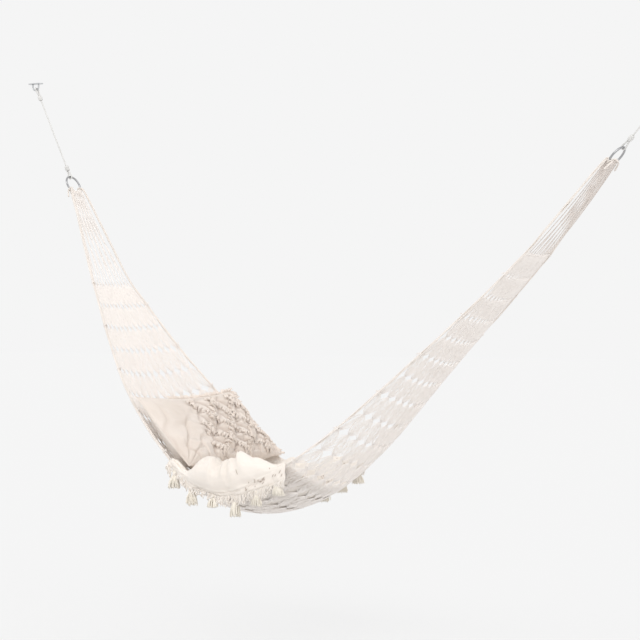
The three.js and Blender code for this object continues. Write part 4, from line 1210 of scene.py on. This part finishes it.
def pillow_relief(u, v):
    """The relief of the pillow's upper side, and its tint, which darkens the colour: puffs that rise by a
    power of the distance from the lattice's lines, creases that are bells over the zeros of a sine, which
    run out from the near foot corner and up from the foot seam, and soft waves of noise. The tint is
    painted shade along the lattice's lines and in the creases, and makes the plain near end a little
    darker all over."""
    away, fade = lattice(u, v)
    x, y = u * PILLOW_LENGTH / 2, v * PILLOW_WIDTH / 2
    puff = (np.clip(away / 0.024, 0, 1) ** 0.6 - 1) * fade
    ray = np.arctan2(x - 0.17, y + 0.30) * 7 + 1.6 * wander(x / 0.07, y / 0.07, 33)
    rays = np.exp(-(np.sin(ray) / 0.26) ** 2) * (1 - fade)
    rays = rays * ease(1.3 - np.hypot(x - 0.17, y + 0.30) / 0.34)
    lumps = np.exp(-(np.sin(np.pi * y / 0.056 + 1.4 * wander(x / 0.08, y / 0.06, 36)) / 0.3) ** 2)
    lumps = lumps * ease((u - 0.25) / 0.5)
    soft = PILLOW_WAVES[0] * wander(x / 0.045, y / 0.06, 34)
    soft = soft + PILLOW_WAVES[1] * wander(x / 0.016, y / 0.022, 35)
    relief = PILLOW_PUFF * puff - PILLOW_RAY * rays - PILLOW_LUMP * lumps + soft
    # Painted shade along the lattice's lines and in the creases; the plain near end a little darker all
    # over.
    tint = 0.40 * fade * np.exp(-(away / 0.012) ** 2) + 0.25 * np.maximum(rays, lumps) + 0.13 * (1 - fade)
    return relief, tint


def pillow_surface(u, v, upper=True):
    """The pillow's skin. Its seam lies level above the edge cords. Its crown swells above the seam, and its
    belly goes down to the net and the quilt's tucked edge, both by the root of (1 - u^4)(1 - v^4). Its
    sides draw in between the corners by a parabola."""
    fullness = np.sqrt(np.clip((1 - u**4) * (1 - v**4), 0, 1))
    long = 1 - PILLOW_DRAW_IN * (1 - v * v) * u * u
    wide = 1 - PILLOW_DRAW_IN * (1 - u * u) * v * v
    distance = PILLOW_PLACE + PILLOW_LENGTH / 2 * u * long
    share = v * wide * PILLOW_WIDTH / bed_width(distance)
    point, _, _, steep = bed_frame(distance, share)
    _, _, _, out = bed_frame(distance, 0.0)
    depth = ((bed_point(distance, 1.0) - point) * out).sum(-1)
    rest = pillow_rest(distance, share) / (steep * out).sum(-1)
    seam = depth + PILLOW_SEAM_RISE + PILLOW_SEAM_LIFT
    if upper:
        height = seam + PILLOW_CROWN * fullness + pillow_relief(u, v)[0] * fullness
    else:
        height = rest + 0.001 * fullness + (seam - rest) * (1 - fullness)
    return point + out * height[..., None], out


def make_pillow():
    """The pillow's closed body, with more points at its rims."""
    s, t = np.linspace(-1, 1, 141), np.linspace(-1, 1, 221)
    u, v = np.meshgrid(np.sin(s * np.pi / 2), np.sin(t * np.pi / 2), indexing="ij")
    upper, lower = pillow_surface(u, v)[0], pillow_surface(u, v, False)[0]
    flat = np.stack([u * PILLOW_LENGTH / 2, v * PILLOW_WIDTH / 2], -1)
    skin = closed_skin(upper, lower, flat, pillow_relief(u, v)[1])
    made = piece("pillow_cushion", skin, PILLOW_CLOTH, "pillow", ["pillow"])
    return made


def make_pillow_fringe():
    """Fringe sewn along the lattice: clumps of five strands on each line, in two layers, which hang down
    the slope and out from their line."""
    roots = []
    for k in (-1, 1):
        for n in range(-10, 10):
            x = np.arange(-0.2, 0.2, 0.0112)
            y = ((n + 0.5) - k * x / LATTICE[0]) * LATTICE[1]
            roots.append(np.stack([x, y, np.full_like(x, k)], -1))
    roots = np.concatenate(roots)
    roots = roots[lattice(roots[:, 0] / (PILLOW_LENGTH / 2), roots[:, 1] / (PILLOW_WIDTH / 2))[1] > 0.3]
    roots = np.tile(roots, (2, 1))
    clumps, each = len(roots), 5
    turned, long = rng.normal(0, 0.22, clumps), rng.uniform(0.019, 0.028, clumps)
    layer = np.repeat(np.repeat([0.0, 1.0], clumps // 2), each)
    turned, long = np.repeat(turned, each), np.repeat(long, each) * rng.uniform(0.85, 1.1, clumps * each)
    x, y, k = np.repeat(roots, each, axis=0).T
    x, y = x + rng.normal(0, 0.0019, len(x)), y + rng.normal(0, 0.0019, len(y))
    u, v = x / (PILLOW_LENGTH / 2), y / (PILLOW_WIDTH / 2)
    angle = k * 0.62 + turned + rng.normal(0, 0.12, len(u))
    length = long * (1 - 0.2 * layer)
    lift = 0.0035 + 0.005 * layer + rng.uniform(0, 0.004, len(u))
    inside = (np.abs(u) < 0.97) & (np.abs(v) < 0.985)
    u, v, angle, length, lift = (a[inside] for a in (u, v, angle, length, lift))
    du = np.clip(u + np.cos(angle) * length / (PILLOW_LENGTH / 2), -0.985, 0.985) - u
    dv = np.clip(v + np.sin(angle) * length / (PILLOW_WIDTH / 2), -0.985, 0.985) - v
    paths = strands_on(pillow_surface, u, v, du, dv, lift)
    thin = 0.0016 * np.array([0.9, 1, 1.05, 1.05, 1.0, 0.85, 0.5])
    return piece("pillow_fringe", tubes(paths, thin, 6), FRINGE_YARN, "pillow")


def make_seam_fringe():
    """Fringe out of the pillow's seam, at its far end and along its head side, in three layers: straight
    strands that point out of the seam, and droop with the square of their run."""
    far, head = SEAM_STRANDS
    u = np.concatenate([np.linspace(-0.97, 0.97, far), np.full(head, -0.992)])
    v = np.concatenate([np.full(far, 0.992), np.linspace(-0.42, 0.97, head)])
    inner_u = np.concatenate([u[:far], np.full(head, -0.95)])
    inner_v = np.concatenate([np.full(far, 0.95), v[far:]])
    root, out = pillow_surface(u, v)
    away = unit(root - pillow_surface(inner_u, inner_v)[0] + out * 0.012)
    root, out, away = (np.tile(x, (3, 1)) for x in (root, out, away))
    count = len(root)
    beside = np.cross(out, away)
    lean = rng.normal(0, 0.25, count)[:, None, None]
    length = rng.uniform(0.014, 0.024, count)[:, None, None]
    lift = rng.uniform(-0.003, 0.006, count)[:, None, None]
    s = np.linspace(0, 1, 7)[:, None]
    paths = root[:, None] - away[:, None] * 0.003 + (away[:, None] + beside[:, None] * lean) * length * s
    paths = paths + out[:, None] * lift * np.minimum(3 * s, 1) + DOWN * 0.007 * s * s
    thin = 0.0019 * np.array([0.8, 1, 1.05, 1.05, 1.0, 0.85, 0.5])
    return piece("pillow_seam_fringe", tubes(paths, thin, 6), FRINGE_YARN, "pillow")


for end in RINGS:
    make_rope(end)
for end in RINGS:
    make_plate(end)
    make_ring(end)
    make_clew(end)
make_net()
for label, edge_side in (("near", -1), ("far", 1)):
    make_edge(label, edge_side)
    make_edge_ties(label, edge_side)
    make_hem_fringe(label, edge_side)
    for number in range(TASSELS_PER_SIDE):
        share = number / (TASSELS_PER_SIDE - 1)
        down = QUILT_START + TASSEL_INSET + (QUILT_LENGTH - 2 * TASSEL_INSET) * share
        make_tassel(f"{label}_tassel_strands_{number + 1}", down, edge_side, TASSEL_SIZES[number],
                    f"quilt_{label}_tassel_{number + 1}")
make_quilt()
make_quilt_tufts()
make_pillow()
make_pillow_fringe()
make_seam_fringe()
